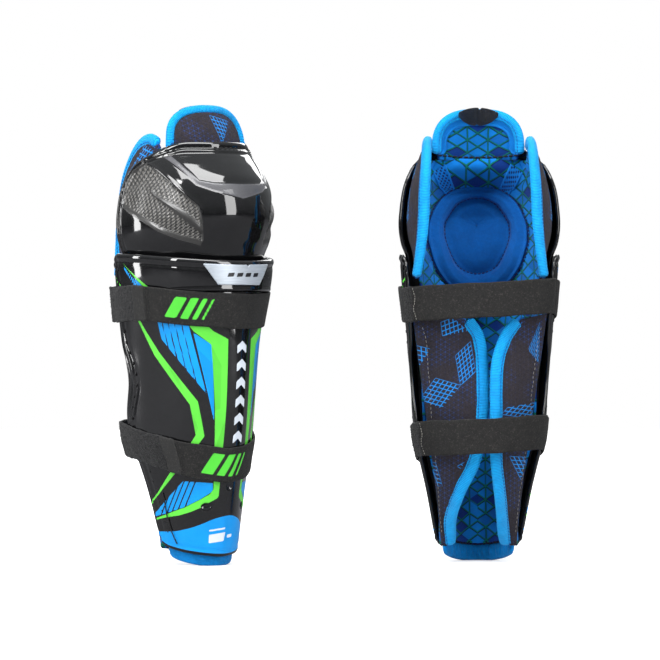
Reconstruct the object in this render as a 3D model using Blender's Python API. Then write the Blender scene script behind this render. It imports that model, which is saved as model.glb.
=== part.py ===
"""A pair of junior hockey shin guards, standing side by side: the right guard turned part way, the left one
turned to show its back.

Each guard is built in its own frame, in millimetres: +Z up the leg, the shin's front towards -Y, and the
outer (lateral) side of the leg towards -X. The left guard is the mirror image of the right one. An empty
places each guard, and an empty on each joint's axis holds the pieces that move about it.
"""

import math

import bmesh
import bpy
from mathutils import Matrix, Vector

MM = 0.001
GAP = 0.4
LAYER_GAP = 1.0

# Placement of the pair, in the frame of the right leg.
GUARD_SPACING = 222.0
RIGHT_TURN = 37.0
LEFT_TURN = 180.0

# Wall thicknesses.
SHELL_WALL = 2.5
FOAM_WALL = 5.0
LINER_WALL = 2.5
WING_WALL = 4.0
PAD_WALL = 7.0
STRAP_WALL = 1.7
PIPING_RADIUS = 3.2

# Heights on the shin.
SHELL_BOTTOM, SHELL_BOTTOM_RISE = 8.0, 10.0
SHELL_TOP, SHELL_TOP_DIP = 233.0, 6.0
LINER_BOTTOM, LINER_TOP = 10.5, 192.0
COLLAR_STEP_HEIGHT, COLLAR_STEP = 206.0, 2.8
BADGE_BOTTOM, BADGE_TOP = 210.5, 225.5
BADGE_BOTTOM_HALF, BADGE_TOP_HALF = 18.0, 27.0

# Sections of the shin shell by height: (height, value).
SHIN_WIDTH = (
    (8, 31.5), (28, 35.2), (55, 40.2), (78, 45.4), (96, 49.3),
    (137, 52.4), (169, 55.0), (203, 58.2), (233, 60.6),
)
SHIN_DEPTH = (
    (8, 46.5), (29, 49.5), (63, 55.5), (96, 61.5), (128, 65.2), (170, 67.3), (205, 67.8), (233, 68.0),
)
SHIN_POWER = ((8, 1.65), (128, 1.62), (170, 1.68), (200, 1.88), (216, 2.02), (233, 2.05))
SHIN_WIDEST = ((8, -16), (28, -13), (60, -8.5), (85, -3), (110, 0), (233, 0))
SHIN_EDGE = (
    (8, -14.5), (28, -12), (55, -7), (78, -1.5), (96, 5.5), (114, 7.2),
    (137, 1.2), (154, 3.6), (169, 9.5), (203, 13), (233, 14.4),
)
EDGE_TURN = 1.4
SHELL_COLUMNS, SHELL_ROWS, STEP_ROW = 16, 13, 10

# Sections of the knee cap by height.
CAP_WIDTH = (
    (196, 50), (219, 53.6), (228, 54.8), (233, 55.8), (242, 59.2), (255, 61),
    (269, 60.2), (283, 58), (296, 53.5), (308, 47.5), (318, 43.5),
)
CAP_DEPTH = (
    (196, 57), (219, 61.5), (228, 63), (236, 65.6), (245, 69.6), (261, 75),
    (277, 73.2), (290, 68.5), (300, 61.5), (310, 53.5), (318, 50.5),
)
CAP_POWER = 2.0
CAP_BACK = 43.0
CAP_BOTTOM, CAP_TOP, CAP_CORNER_DROP, CAP_FLAT = 219.0, 317.0, 20.0, 0.45
CAP_REACH = ((219, 98), (238, 104), (268, 104), (292, 97), (310, 84))
CAP_COLUMNS = 14
KNEE_LINER_BOTTOM, KNEE_LINER_TOP = 200.0, 305.5
KNEE_PAD_CENTRE, KNEE_PAD_HALF, KNEE_PAD_UP, KNEE_PAD_DOWN = 250.0, 37.0, 43.0, 50.0
KNEE_DISC_HALF_WIDTH, KNEE_DISC_HALF_HEIGHT, KNEE_DISC_GROOVE = 25.0, 29.0, 2.5

# Knee wings: the heights where they leave the cap, and the lateral one's free edge from the bottom up.
KNEE_WING_BOTTOM, KNEE_WING_TOP = 217.0, 304.0
KNEE_WING_EDGE = (
    (-50, 17, 217), (-48.3, 21, 231), (-46.8, 24, 247), (-45.2, 22, 269),
    (-44.2, 14, 290), (-42, 2, 304), (-41, -5, 311),
)
KNEE_WING_BULGE = 4.0

# Calf wings: the straight hinge line on the shell's edge and the free edge behind the calf.
WING_HINGE_TOP, WING_HINGE_BOTTOM = (-50.5, 12.5, 188), (-27.5, -8.5, 14)
LATERAL_WING_EDGE = (
    (-27, -1, 12), (-26.5, 8, 36), (-18.5, 15, 56), (-7, 18.5, 80),
    (-2.8, 19.5, 110), (-2.8, 19.5, 147), (-4.5, 20, 170), (-12, 20, 184),
)
MEDIAL_WING_EDGE = (
    (25, -2, 12), (20.5, 9, 36), (19, 17.5, 56), (17, 24, 80),
    (17.5, 27, 110), (18, 27, 147), (24, 26, 168), (31, 23.5, 184),
)
CALF_WING_BULGE = 7.0

# Thigh flap above the knee cap, and the seam that it folds about.
FLAP_SEAM_HEIGHT = 307.0
FLAP_HALF, FLAP_RISE = 30.5, 33.0
FLAP_SIDE_BACK, FLAP_FRONT_BULGE = -25.5, 16.0
FLAP_ROUNDING = 2.7
TAG_HALF = 14.5

# Straps: height of the centre line by place round the leg. Place 0 is the front, -1 and 1 are the shell's
# lateral and medial edges, and -2 and 2 the middle of the calf.
UPPER_STRAP = {
    "name": "upper", "width": 25.0, "panel_front": -0.64, "tab_front": -0.62, "tab_end": -0.695, "back": 37.0,
    "height": (
        (-2, 199), (-1, 195.5), (-0.66, 197), (-0.35, 193), (0, 190.5), (0.5, 193), (1, 202), (2, 199),
    ),
}
LOWER_STRAP = {
    "name": "lower", "width": 25.0, "panel_front": -0.52, "tab_front": -0.5, "tab_end": -0.595, "back": 36.5,
    "height": (
        (-2, 97), (-1, 93), (-0.66, 86), (-0.35, 79), (0, 76), (0.5, 83), (1, 98.5), (2, 97),
    ),
}
BACK_STRAP_HINGE = -1.26
FRONT_STRAP_HINGE, HINGE_SLACK = 1.0, 0.009
PANEL_LIFT = 0.5

# Points on the axes of the knee's and the thigh flap's joints.
KNEE_PIVOT = (0, 2, 227)
FLAP_PIVOT = (0, -33, 307)

BLACK_PLASTIC = ("black_plastic", (0.012, 0.012, 0.014), 0.12)
BADGE_SILVER = ("badge_silver", (0.62, 0.66, 0.70), 0.35)
BLUE_KNIT = ("blue_knit", (0.005, 0.17, 0.55), 0.9)
BLUE_BINDING = ("blue_binding", (0.0, 0.30, 0.75), 0.8)
BLACK_FABRIC = ("black_fabric", (0.03, 0.03, 0.035), 0.9)
GREY_FOAM = ("grey_foam", (0.25, 0.25, 0.25), 1.0)
STRAP_ELASTIC = ("strap_elastic", (0.018, 0.018, 0.02), 0.85)
LOOP_PILE = ("loop_pile", (0.012, 0.012, 0.015), 1.0)


def clear_scene():
    for obj in list(bpy.data.objects):
        bpy.data.objects.remove(obj, do_unlink=True)


def material(kind):
    name, colour, roughness = kind
    found = bpy.data.materials.get(name)
    if found:
        return found
    made = bpy.data.materials.new(name)
    made.use_nodes = True
    shader = made.node_tree.nodes["Principled BSDF"]
    shader.inputs["Base Color"].default_value = (*colour, 1.0)
    shader.inputs["Roughness"].default_value = roughness
    shader.inputs["Metallic"].default_value = 0.0
    return made


def smooth_step(value, low, high):
    f = min(1.0, max(0.0, (value - low) / (high - low)))
    return f * f * (3 - 2 * f)


def along(stations, at):
    """A smooth value at a height, through (height, value) stations, held level beyond the ends."""
    if at <= stations[0][0]:
        return stations[0][1]
    if at >= stations[-1][0]:
        return stations[-1][1]
    i = max(k for k in range(len(stations) - 1) if stations[k][0] <= at)
    (x0, y0), (x1, y1) = stations[i], stations[i + 1]

    def slope(k):
        low, high = max(k - 1, 0), min(k + 1, len(stations) - 1)
        return (stations[high][1] - stations[low][1]) / (stations[high][0] - stations[low][0])

    step = x1 - x0
    f = (at - x0) / step
    rise, out = slope(i) * step, slope(i + 1) * step
    blend = f * f * (3 - 2 * f)
    return y0 + (y1 - y0) * blend + rise * f * (1 - f) ** 2 - out * f * f * (1 - f)


def through(points, f):
    """A point at share f along the smooth curve through the points."""
    stations = [[(i / (len(points) - 1), p[axis]) for i, p in enumerate(points)] for axis in range(3)]
    return Vector(along(s, f) for s in stations)


# --- Surfaces of one guard ---


def section(turn, width, depth, power, widest, edge, reach):
    """A point of a U-shaped section. turn is 0 at the front and 90 degrees at the widest place."""
    sine, cosine = math.sin(turn), math.cos(turn)
    share = 2.0 / power
    x = width * math.copysign(abs(sine) ** share, sine)
    if cosine >= 0:
        return x, widest - (depth + widest) * cosine**share
    return x, widest + (edge - widest) * cosine / math.cos(reach)


def shell_reach(z):
    """How far round the shin shell's edge is, in radians."""
    return math.radians(90 + 0.5 + EDGE_TURN * (along(SHIN_EDGE, z) - along(SHIN_WIDEST, z)))


def collar_step(place, z):
    """How far the collar stands out in front of the shin below it."""
    step = COLLAR_STEP * smooth_step(z, COLLAR_STEP_HEIGHT - 1.5, COLLAR_STEP_HEIGHT)
    return step * (1 - smooth_step(abs(place), 0.37, 0.56))


def shin_point(place, z, stepped=True):
    """A point on the shin shell's outer surface. place is -1 at the lateral edge and 1 at the medial one."""
    reach = shell_reach(z)
    grown = collar_step(place, z) if stepped else 0.0
    width, depth = along(SHIN_WIDTH, z) + grown, along(SHIN_DEPTH, z) + grown
    turn = place * reach
    widest, edge = along(SHIN_WIDEST, z), along(SHIN_EDGE, z)
    x, y = section(turn, width, depth, along(SHIN_POWER, z), widest, edge, reach)
    return Vector((x, y, z))


def moved(surface, a, b, distance):
    """The surface's point at (a, b), moved along its outward normal."""
    across = surface(a + 0.004, b) - surface(a - 0.004, b)
    up = surface(a, b + 0.5) - surface(a, b - 0.5)
    return surface(a, b) + across.cross(up).normalized() * distance


def plain_shin(place, z):
    return shin_point(place, z, stepped=False)


def shell_bottom(place):
    corner = max(0.0, (abs(place) - 0.85) / 0.15)
    return SHELL_BOTTOM + SHELL_BOTTOM_RISE * place**2 + 5 * corner**2


def shell_top(place):
    corner = max(0.0, (abs(place) - 0.88) / 0.12)
    return SHELL_TOP - SHELL_TOP_DIP * math.cos(place * math.pi / 2) ** 2 - 7 * corner**2


def shell_surface(u, v):
    """The shell, with a row of points on each side of the collar's step."""
    place, row = 2 * u - 1, v * SHELL_ROWS
    low, below, high = shell_bottom(place), COLLAR_STEP_HEIGHT - 1.5, shell_top(place)
    if row <= STEP_ROW:
        return shin_point(place, low + (below - low) * row / STEP_ROW)
    if row <= STEP_ROW + 1:
        return shin_point(place, below + (COLLAR_STEP_HEIGHT - below) * (row - STEP_ROW))
    share = (row - STEP_ROW - 1) / (SHELL_ROWS - STEP_ROW - 1)
    return shin_point(place, COLLAR_STEP_HEIGHT + (high - COLLAR_STEP_HEIGHT) * share)


def layer_surface(depth, low, high, columns):
    """A layer inside the shin shell between two heights, over the shell's middle columns."""

    def surface(u, v):
        place = (2 * u - 1) * columns / SHELL_COLUMNS
        start = low + SHELL_BOTTOM_RISE * place**2
        return moved(plain_shin, place, start + (high - start) * v, -depth)

    return surface


def cap_section(share, z):
    """A point on the knee cap's outer surface. share runs from -1 to 1 between the cap's edges."""
    turn = math.radians(share * along(CAP_REACH, z))
    x, y = section(turn, along(CAP_WIDTH, z), along(CAP_DEPTH, z), CAP_POWER, 0.0, CAP_BACK, math.pi)
    return Vector((x, y, z))


def cap_surface(u, v):
    place = 2 * u - 1
    drop = CAP_CORNER_DROP * (max(0.0, abs(place) - CAP_FLAT) / (1 - CAP_FLAT)) ** 2
    return cap_section(place, CAP_BOTTOM + (CAP_TOP - drop - CAP_BOTTOM) * v)


def knee_layer_surface(depth, low, high, columns):
    """A layer inside the knee cap, over its middle columns. The top corners come down under the wings."""

    def surface(u, v):
        place = (2 * u - 1) * columns / CAP_COLUMNS
        top = high - 22 * max(0.0, (abs(place) - 0.3) / 0.6) ** 2
        return moved(cap_section, place, low + (top - low) * v, -depth)

    return surface


def pad_outline(angle, half_width, up, down):
    rise = up if math.sin(angle) > 0 else down
    return half_width * math.cos(angle), rise * math.sin(angle)


def pad_point(x, rise):
    """A point at x across and rise above the knee pad's middle, on the liner's inner face."""
    z = KNEE_PAD_CENTRE + rise
    depth = SHELL_WALL + FOAM_WALL + LINER_WALL + 3 * LAYER_GAP + 0.3
    width = along(CAP_WIDTH, z)
    share = math.degrees(math.asin(min(1.0, x / (width - depth)))) / along(CAP_REACH, z)
    return moved(cap_section, share, z, -depth)


def pad_ring_surface(u, v):
    """The D-shaped knee pad: v runs from its round hole out to its edge."""
    angle = -2 * math.pi * u
    hole = KNEE_DISC_HALF_HEIGHT + KNEE_DISC_GROOVE
    inner = pad_outline(angle, KNEE_DISC_HALF_WIDTH + KNEE_DISC_GROOVE, hole, hole)
    outer = pad_outline(angle, KNEE_PAD_HALF, KNEE_PAD_UP, KNEE_PAD_DOWN)
    x, rise = (a + (b - a) * v for a, b in zip(inner, outer))
    return pad_point(x, rise)


def pad_disc_surface(u, v):
    half_height = KNEE_DISC_HALF_HEIGHT * v
    return pad_point(*pad_outline(-2 * math.pi * u, KNEE_DISC_HALF_WIDTH * v, half_height, half_height))


def knee_wing_surface(u, v):
    """The lateral knee wing: u runs from inside the cap's edge to the free edge."""
    z = KNEE_WING_BOTTOM + (KNEE_WING_TOP - KNEE_WING_BOTTOM) * v
    share = (88 - 14 * v**4) / along(CAP_REACH, z)
    start = moved(cap_section, -share, z, -SHELL_WALL - 3.2)
    bulge = KNEE_WING_BULGE * math.sin(math.pi * min(1.0, 0.04 + v)) * 4 * u * (1 - u)
    return start.lerp(through(KNEE_WING_EDGE, v), u) + Vector((-0.8, 0.5, 0)) * bulge


def hinge_line(f, side):
    x, y, z = Vector(WING_HINGE_BOTTOM).lerp(Vector(WING_HINGE_TOP), f)
    return Vector((x * side, y, z))


def calf_wing_surface(edge, side):
    """A calf wing from its hinge line (side 1 is lateral, -1 medial) to its free edge."""

    def surface(u, v):
        free = through(edge, v)
        start = hinge_line(v, side)
        start.y += 0.6
        width = (free - start).length / 55
        bulge = CALF_WING_BULGE * min(1.0, width) ** 2
        return start.lerp(free, u) + Vector((-0.55 * side, 0.8, 0)) * (bulge * 4 * u * (1 - u))

    return surface


def flap_height(share):
    """Height of the thigh flap's edge above its seam, at a share of its half width."""
    return 9.0 + (FLAP_RISE - 9.0) * max(0.0, 1 - abs(share) ** FLAP_ROUNDING) ** (1 / FLAP_ROUNDING)


def flap_point(x, up, offset=0.0):
    """A point on the thigh flap's front face, at x across and up above the seam, moved forward by offset."""
    bulge = math.cos(min(1.0, abs(x) / (FLAP_HALF + 6)) * math.pi / 2)
    lean = 0.05 * up + 0.0075 * up**2
    return Vector((x, FLAP_SIDE_BACK - FLAP_FRONT_BULGE * bulge + lean - offset, FLAP_SEAM_HEIGHT + up))


def flap_surface(u, v):
    share = math.sin(math.pi * (u - 0.5))
    start = 0.6 + 2.5 * share**2
    return flap_point(FLAP_HALF * share, start + (flap_height(share) - start) * v)


def tag_surface(u, v):
    """The tag behind the top of the flap. It is sewn on low down and bows away above."""
    share = 2 * u - 1
    bow = 1.8 * v**0.5 + 2.4 * v * (1 - share**2)
    return flap_point(TAG_HALF * share, 25 + 12.5 * v + 2 * share**2, -WING_WALL - 1.7 - bow)


def strap_point(strap, place, across, lift):
    """A point on a strap, at a place round the leg, across its width from -1 to 1, and lifted off the shell."""
    half = strap["width"] / 2
    height = along(strap["height"], place)
    z = height + across * half
    if abs(place) <= 1:
        rise = collar_step(place, height + half) * min(1.0, 0.65 * (across + 1))
        return moved(plain_shin, place, z, lift + rise)
    # Behind the shell the strap runs in one curve from edge to edge.
    corner = moved(plain_shin, math.copysign(1, place), z, lift)
    run = (strap["back"] + lift - corner.y) / 0.75
    f = (abs(place) - 1) / 2
    sideways = corner.x * ((1 - f) ** 3 + 3 * f * (1 - f) ** 2 - 3 * f**2 * (1 - f) - f**3)
    return Vector((sideways, corner.y + run * 3 * f * (1 - f), z))


def strap_surface(strap, start, end, columns, lift_start, lift_end=None):
    """Part of a strap between two places, with a column of points at the shell's edge where it passes one."""
    corner = math.copysign(1, start + end)
    crosses = (start - corner) * (end - corner) < 0
    shared = round(columns * (corner - start) / (end - start)) / columns if crosses else 1.0

    def surface(u, v):
        if not crosses:
            place = start + (end - start) * u
        elif u < shared:
            place = start + (corner - start) * u / shared
        else:
            place = corner + (end - corner) * (u - shared) / (1 - shared)
        # Beyond the middle of the calf, 2 carries on from -2.
        if place > 2:
            place -= 4
        rise = 0.0 if lift_end is None else (lift_end - lift_start) * smooth_step(u, 0.85, 0.97)
        return strap_point(strap, place, 2 * v - 1, lift_start + rise)

    return surface


def badge_surface(u, v):
    half = BADGE_BOTTOM_HALF + (BADGE_TOP_HALF - BADGE_BOTTOM_HALF) * v
    turn = (2 * u - 1) * math.asin(half / along(SHIN_WIDTH, BADGE_TOP))
    z = BADGE_BOTTOM + (BADGE_TOP - BADGE_BOTTOM) * v
    return moved(shin_point, turn / shell_reach(z), z, GAP + 0.8)


# --- Builders ---


class Guard:
    """One guard: its name, its hand (1 right, -1 left) and the empty that its next pieces hang from."""

    def __init__(self, name, hand, place, turn):
        self.name, self.hand = name, hand
        self.empty = bpy.data.objects.new(name + "_guard", None)
        bpy.context.scene.collection.objects.link(self.empty)
        self.empty.location = Vector(place) * MM
        self.empty.rotation_euler.z = math.radians(turn)
        self.holder, self.holder_place = self.empty, Vector()

    def local(self, point):
        return Vector((point.x * self.hand, point.y, point.z)) * MM

    def hang(self, obj):
        """Parent an object to the present holder, and leave it where it is in the guard's frame."""
        obj.parent = self.holder
        obj.matrix_parent_inverse = Matrix.Translation(-self.holder_place)

    def pivot(self, name, point):
        """An empty at a point on a joint's axis. It holds the pieces that are made after it."""
        made = bpy.data.objects.new(f"{self.name}_{name}_pivot", None)
        bpy.context.scene.collection.objects.link(made)
        self.hang(made)
        made.location = self.local(Vector(point))
        self.holder, self.holder_place = made, made.location.copy()

    def release(self):
        """Go back to making pieces that are fixed to the shin."""
        self.holder, self.holder_place = self.empty, Vector()

    def add(self, name, data, kind):
        obj = bpy.data.objects.new(f"{self.name}_{name}", data)
        bpy.context.scene.collection.objects.link(obj)
        obj.data.materials.append(material(kind))
        self.hang(obj)
        return obj

    def patch(self, name, surface, across, up, wall, kind, closed=False):
        """A curved sheet that follows surface(u, v), with its wall on the inner side."""
        mesh = bpy.data.meshes.new(name)
        bm = bmesh.new()
        bmesh.ops.create_grid(bm, x_segments=across, y_segments=up, size=0.5)
        for vert in bm.verts:
            vert.co = self.local(surface(vert.co.x + 0.5, vert.co.y + 0.5))
        if closed:
            bmesh.ops.remove_doubles(bm, verts=bm.verts, dist=0.02 * MM)
        if self.hand < 0:
            bmesh.ops.reverse_faces(bm, faces=bm.faces)
        bm.to_mesh(mesh)
        bm.free()
        obj = self.add(name, mesh, kind)
        mesh.shade_smooth()
        solid = obj.modifiers.new("wall", "SOLIDIFY")
        solid.thickness = wall * MM
        solid.offset = -1
        solid.use_even_offset = True
        solid.use_quality_normals = True
        return obj

    def tube(self, name, curve_point, count, radius, kind, sides=1):
        """A round binding along curve_point(f), f from 0 to 1."""
        curve = bpy.data.curves.new(name, "CURVE")
        curve.dimensions = "3D"
        curve.bevel_depth = radius * MM
        curve.bevel_resolution = sides
        curve.use_fill_caps = True
        spline = curve.splines.new("POLY")
        spline.points.add(count)
        for i, point in enumerate(spline.points):
            point.co = (*self.local(curve_point(i / count)), 1.0)
        return self.add(name, curve, kind)


def build_shin(guard):
    guard.patch("shin_shell", shell_surface, SHELL_COLUMNS, SHELL_ROWS, SHELL_WALL, BLACK_PLASTIC)
    depth = SHELL_WALL + LAYER_GAP
    guard.patch("shin_foam", layer_surface(depth, LINER_BOTTOM, LINER_TOP, 12), 12, 5, FOAM_WALL, GREY_FOAM)
    depth += FOAM_WALL + LAYER_GAP
    guard.patch("shin_liner", layer_surface(depth, LINER_BOTTOM, LINER_TOP, 14), 14, 6, LINER_WALL, BLUE_KNIT)
    guard.patch("ankle_hem", hem_surface(SHELL_WALL + 1.2), 14, 1, 4.5, BLUE_KNIT)
    guard.patch("collar_badge", badge_surface, 6, 1, 0.8, BADGE_SILVER)


def hem_surface(depth):
    def surface(u, v):
        place = (2 * u - 1) * 14 / SHELL_COLUMNS
        return moved(plain_shin, place, (SHELL_BOTTOM_RISE * place**2) + (LINER_BOTTOM - 1.0) * v, -depth)

    return surface


def build_knee(guard):
    guard.pivot("knee", KNEE_PIVOT)
    guard.patch("knee_cap", cap_surface, CAP_COLUMNS, 9, SHELL_WALL, BLACK_PLASTIC)
    depth = SHELL_WALL + LAYER_GAP
    guard.patch("knee_foam", knee_layer_surface(depth, 222, 300, 10), 10, 6, FOAM_WALL, GREY_FOAM)
    depth += FOAM_WALL + LAYER_GAP
    liner = knee_layer_surface(depth, KNEE_LINER_BOTTOM, KNEE_LINER_TOP, 10)
    guard.patch("knee_liner", liner, 10, 8, LINER_WALL, BLUE_KNIT)
    guard.patch("knee_pad", pad_ring_surface, 16, 2, PAD_WALL, BLUE_KNIT, closed=True)
    guard.patch("knee_pad_centre", pad_disc_surface, 16, 2, PAD_WALL - 2, BLUE_KNIT, closed=True)
    for side, label in ((1, "lateral"), (-1, "medial")):
        guard.patch(f"knee_wing_{label}", sided(knee_wing_surface, side), 4, 8, WING_WALL, BLACK_FABRIC)
        guard.tube(
            f"knee_wing_binding_{label}",
            lambda f, side=side: knee_binding(f, side),
            8, PIPING_RADIUS, BLUE_BINDING,
        )


def sided(surface, side):
    """The same surface on the lateral (1) or medial (-1) side, still facing outwards."""
    if side > 0:
        return turned(surface)

    def mirrored(u, v):
        point = surface(u, v)
        return Vector((-point.x, point.y, point.z))

    return mirrored


def beyond(root, edge, distance):
    """The point past the edge by a distance, in line with the root."""
    return edge + (edge - root).normalized() * distance


def knee_binding(f, side):
    near, edge = knee_wing_surface(0.9, f), knee_wing_surface(1.0, f)
    wall_middle = Vector((0.95, 0.2, 0)) * (WING_WALL / 2)
    point = beyond(near, edge, PIPING_RADIUS + GAP + 0.3) + wall_middle
    return Vector((point.x * side, point.y, point.z))


def build_thigh_flap(guard):
    guard.pivot("thigh_flap", FLAP_PIVOT)
    guard.patch("thigh_flap", flap_surface, 10, 4, WING_WALL, BLACK_FABRIC)

    def binding(f):
        angle = math.pi * (1 - f)
        share = math.cos(angle)
        lift = PIPING_RADIUS + GAP + 0.2
        x = (FLAP_HALF + lift) * math.copysign(abs(share) ** (2 / FLAP_ROUNDING), share)
        up = 7.5 + (FLAP_RISE + lift - 7.5) * math.sin(angle) ** (2 / FLAP_ROUNDING)
        return flap_point(x, up, -WING_WALL / 2)

    guard.tube("thigh_flap_binding", binding, 16, PIPING_RADIUS, BLUE_BINDING)
    guard.patch("side_tag", tag_surface, 6, 1, 0.8, BLACK_FABRIC)


def build_calf_wings(guard):
    for edge, side, label in ((LATERAL_WING_EDGE, 1, "lateral"), (MEDIAL_WING_EDGE, -1, "medial")):
        surface = calf_wing_surface(edge, side)
        facing = turned(surface) if side > 0 else surface
        guard.release()
        guard.pivot(f"calf_wing_{label}", hinge_line(0.5, side))
        guard.patch(f"calf_wing_{label}", facing, 5, 10, WING_WALL, BLACK_FABRIC)

        def binding(f, s=surface, side=side):
            near, end = s(0.92, f), s(1.0, f)
            rising = s(1.0, min(1.0, f + 0.05)) - s(1.0, max(0.0, f - 0.05))
            inward = (end - near).cross(rising).normalized() * side * WING_WALL / 2
            return beyond(near, end, PIPING_RADIUS + GAP + 1.0) + inward

        guard.tube(f"calf_wing_binding_{label}", binding, 10, PIPING_RADIUS, BLUE_BINDING)


def build_strap(guard, strap):
    guard.release()
    name = strap["name"]
    top = PANEL_LIFT + STRAP_WALL
    raised = top + STRAP_WALL + GAP + 0.2
    panel = strap_surface(strap, BACK_STRAP_HINGE + 0.01, strap["panel_front"], 10, top)
    guard.patch(f"{name}_loop_panel", panel, 10, 2, STRAP_WALL, LOOP_PILE)
    # From the lateral hinge across the calf and round the medial edge.
    back = strap_surface(strap, FRONT_STRAP_HINGE + HINGE_SLACK, 4 + BACK_STRAP_HINGE - 0.005, 14, top)
    guard.patch(f"{name}_back_strap", back, 14, 2, STRAP_WALL, STRAP_ELASTIC)
    guard.pivot(f"{name}_front_strap", strap_point(strap, FRONT_STRAP_HINGE, 0, top))
    front = strap_surface(strap, FRONT_STRAP_HINGE - HINGE_SLACK, strap["tab_front"], 18, top, raised)
    guard.patch(f"{name}_front_strap", turned(front), 18, 2, STRAP_WALL, STRAP_ELASTIC)
    tab = strap_surface(strap, strap["tab_end"], strap["tab_front"] - 0.004, 3, raised)
    guard.patch(f"{name}_hook_tab", tab, 3, 1, STRAP_WALL, STRAP_ELASTIC)


def turned(surface):
    """The same surface laid out from its other end."""
    return lambda u, v: surface(1 - u, v)


def build_guard(name, hand, place, turn):
    guard = Guard(name, hand, place, turn)
    build_shin(guard)
    build_knee(guard)
    build_thigh_flap(guard)
    build_calf_wings(guard)
    for strap in (UPPER_STRAP, LOWER_STRAP):
        build_strap(guard, strap)


def main():
    clear_scene()
    build_guard("right", 1, (0, 0, 0), RIGHT_TURN)
    build_guard("left", -1, (GUARD_SPACING, 0, 0), LEFT_TURN)


main()
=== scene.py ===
"""Looks of a pair of junior hockey shin guards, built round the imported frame.

Every piece is shaped once, for the right guard, in that guard's own frame in millimetres: +Z up the leg, the
shin's front towards -Y and the outer (lateral) side towards -X. The left guard takes each one's mirror image.
On a shell, s is the distance round the leg from the front's centre line, and z is the height.
"""

import math

import bpy
import numpy as np
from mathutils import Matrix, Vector


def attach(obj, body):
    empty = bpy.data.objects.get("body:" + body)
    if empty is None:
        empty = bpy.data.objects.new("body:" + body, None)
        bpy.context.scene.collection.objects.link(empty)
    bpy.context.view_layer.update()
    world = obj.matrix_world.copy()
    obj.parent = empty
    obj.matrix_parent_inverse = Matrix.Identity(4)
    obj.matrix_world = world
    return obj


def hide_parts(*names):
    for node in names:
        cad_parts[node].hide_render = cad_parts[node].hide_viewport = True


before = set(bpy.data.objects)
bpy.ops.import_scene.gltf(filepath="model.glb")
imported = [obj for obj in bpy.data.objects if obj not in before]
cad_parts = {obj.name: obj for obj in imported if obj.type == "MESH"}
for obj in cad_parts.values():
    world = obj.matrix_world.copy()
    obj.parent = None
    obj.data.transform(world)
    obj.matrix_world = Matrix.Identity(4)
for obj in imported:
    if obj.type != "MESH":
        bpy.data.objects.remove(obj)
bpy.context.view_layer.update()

MM = 0.001
# Each guard's hand, place in millimetres and turn in degrees.
GUARDS = {"right": (1, 0.0, 37.0), "left": (-1, 222.0, 180.0)}
RNG = np.random.default_rng(7)
# Air pressure in the cloth simulations. Smaller cushions need more to swell.
LINING_PRESSURE, PAD_PRESSURE, HEM_PRESSURE = 40.0, 600.0, 1500.0
SWELL_FRAMES = 20
CAMERA_DISTANCE, VIEW_WIDTH = 3.0, 0.5003
# Name, place, aim, size and power of each area light, in metres and watts.
LAMPS = (
    ("key", (-1.25, -1.45, 1.15), (0.1, 0, 0.2), (0.5, 1.3), 34),
    ("side", (1.35, -1.25, 0.7), (0.1, 0, 0.18), (0.6, 1.3), 18),
    ("edge", (-1.5, -0.25, 0.35), (0.0, 0, 0.17), (0.22, 1.1), 9),
    ("top", (0.1, -0.8, 1.6), (0.1, 0.0, 0.15), (1.6, 0.6), 30),
    ("rear", (0.2, 1.9, 1.3), (0.1, 0, 0.2), (2.0, 0.9), 26),
)

# Sections by height, as in the CAD model: (height, value).
SHIN_WIDTH = (
    (8, 31.5), (28, 35.2), (55, 40.2), (78, 45.4), (96, 49.3),
    (137, 52.4), (169, 55.0), (203, 58.2), (233, 60.6),
)
SHIN_DEPTH = ((8, 46.5), (29, 49.5), (63, 55.5), (96, 61.5), (128, 65.2), (170, 67.3), (205, 67.8),
              (233, 68.0))
SHIN_POWER = ((8, 1.65), (128, 1.62), (170, 1.68), (200, 1.88), (216, 2.02), (233, 2.05))
SHIN_WIDEST = ((8, -16), (28, -13), (60, -8.5), (85, -3), (110, 0), (233, 0))
SHIN_EDGE = (
    (8, -14.5), (28, -12), (55, -7), (78, -1.5), (96, 5.5), (114, 7.2),
    (137, 1.2), (154, 3.6), (169, 9.5), (203, 13), (233, 14.4),
)
CAP_WIDTH = (
    (196, 50), (219, 53.6), (228, 54.8), (233, 55.8), (242, 59.2), (255, 61),
    (269, 60.2), (283, 58), (296, 53.5), (308, 47.5), (318, 43.5),
)
CAP_DEPTH = (
    (196, 57), (219, 61.5), (228, 63), (236, 65.6), (245, 69.6), (261, 75),
    (277, 73.2), (290, 68.5), (300, 61.5), (310, 53.5), (318, 50.5),
)
CAP_REACH = ((219, 98), (238, 104), (268, 104), (292, 97), (310, 84))
CAP_BOTTOM, CAP_TOP, CAP_EDGE = 219.0, 317.0, 0.925
SHELL_WALL, WING_WALL, STRAP_WALL = 2.5, 4.0, 1.7
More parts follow.
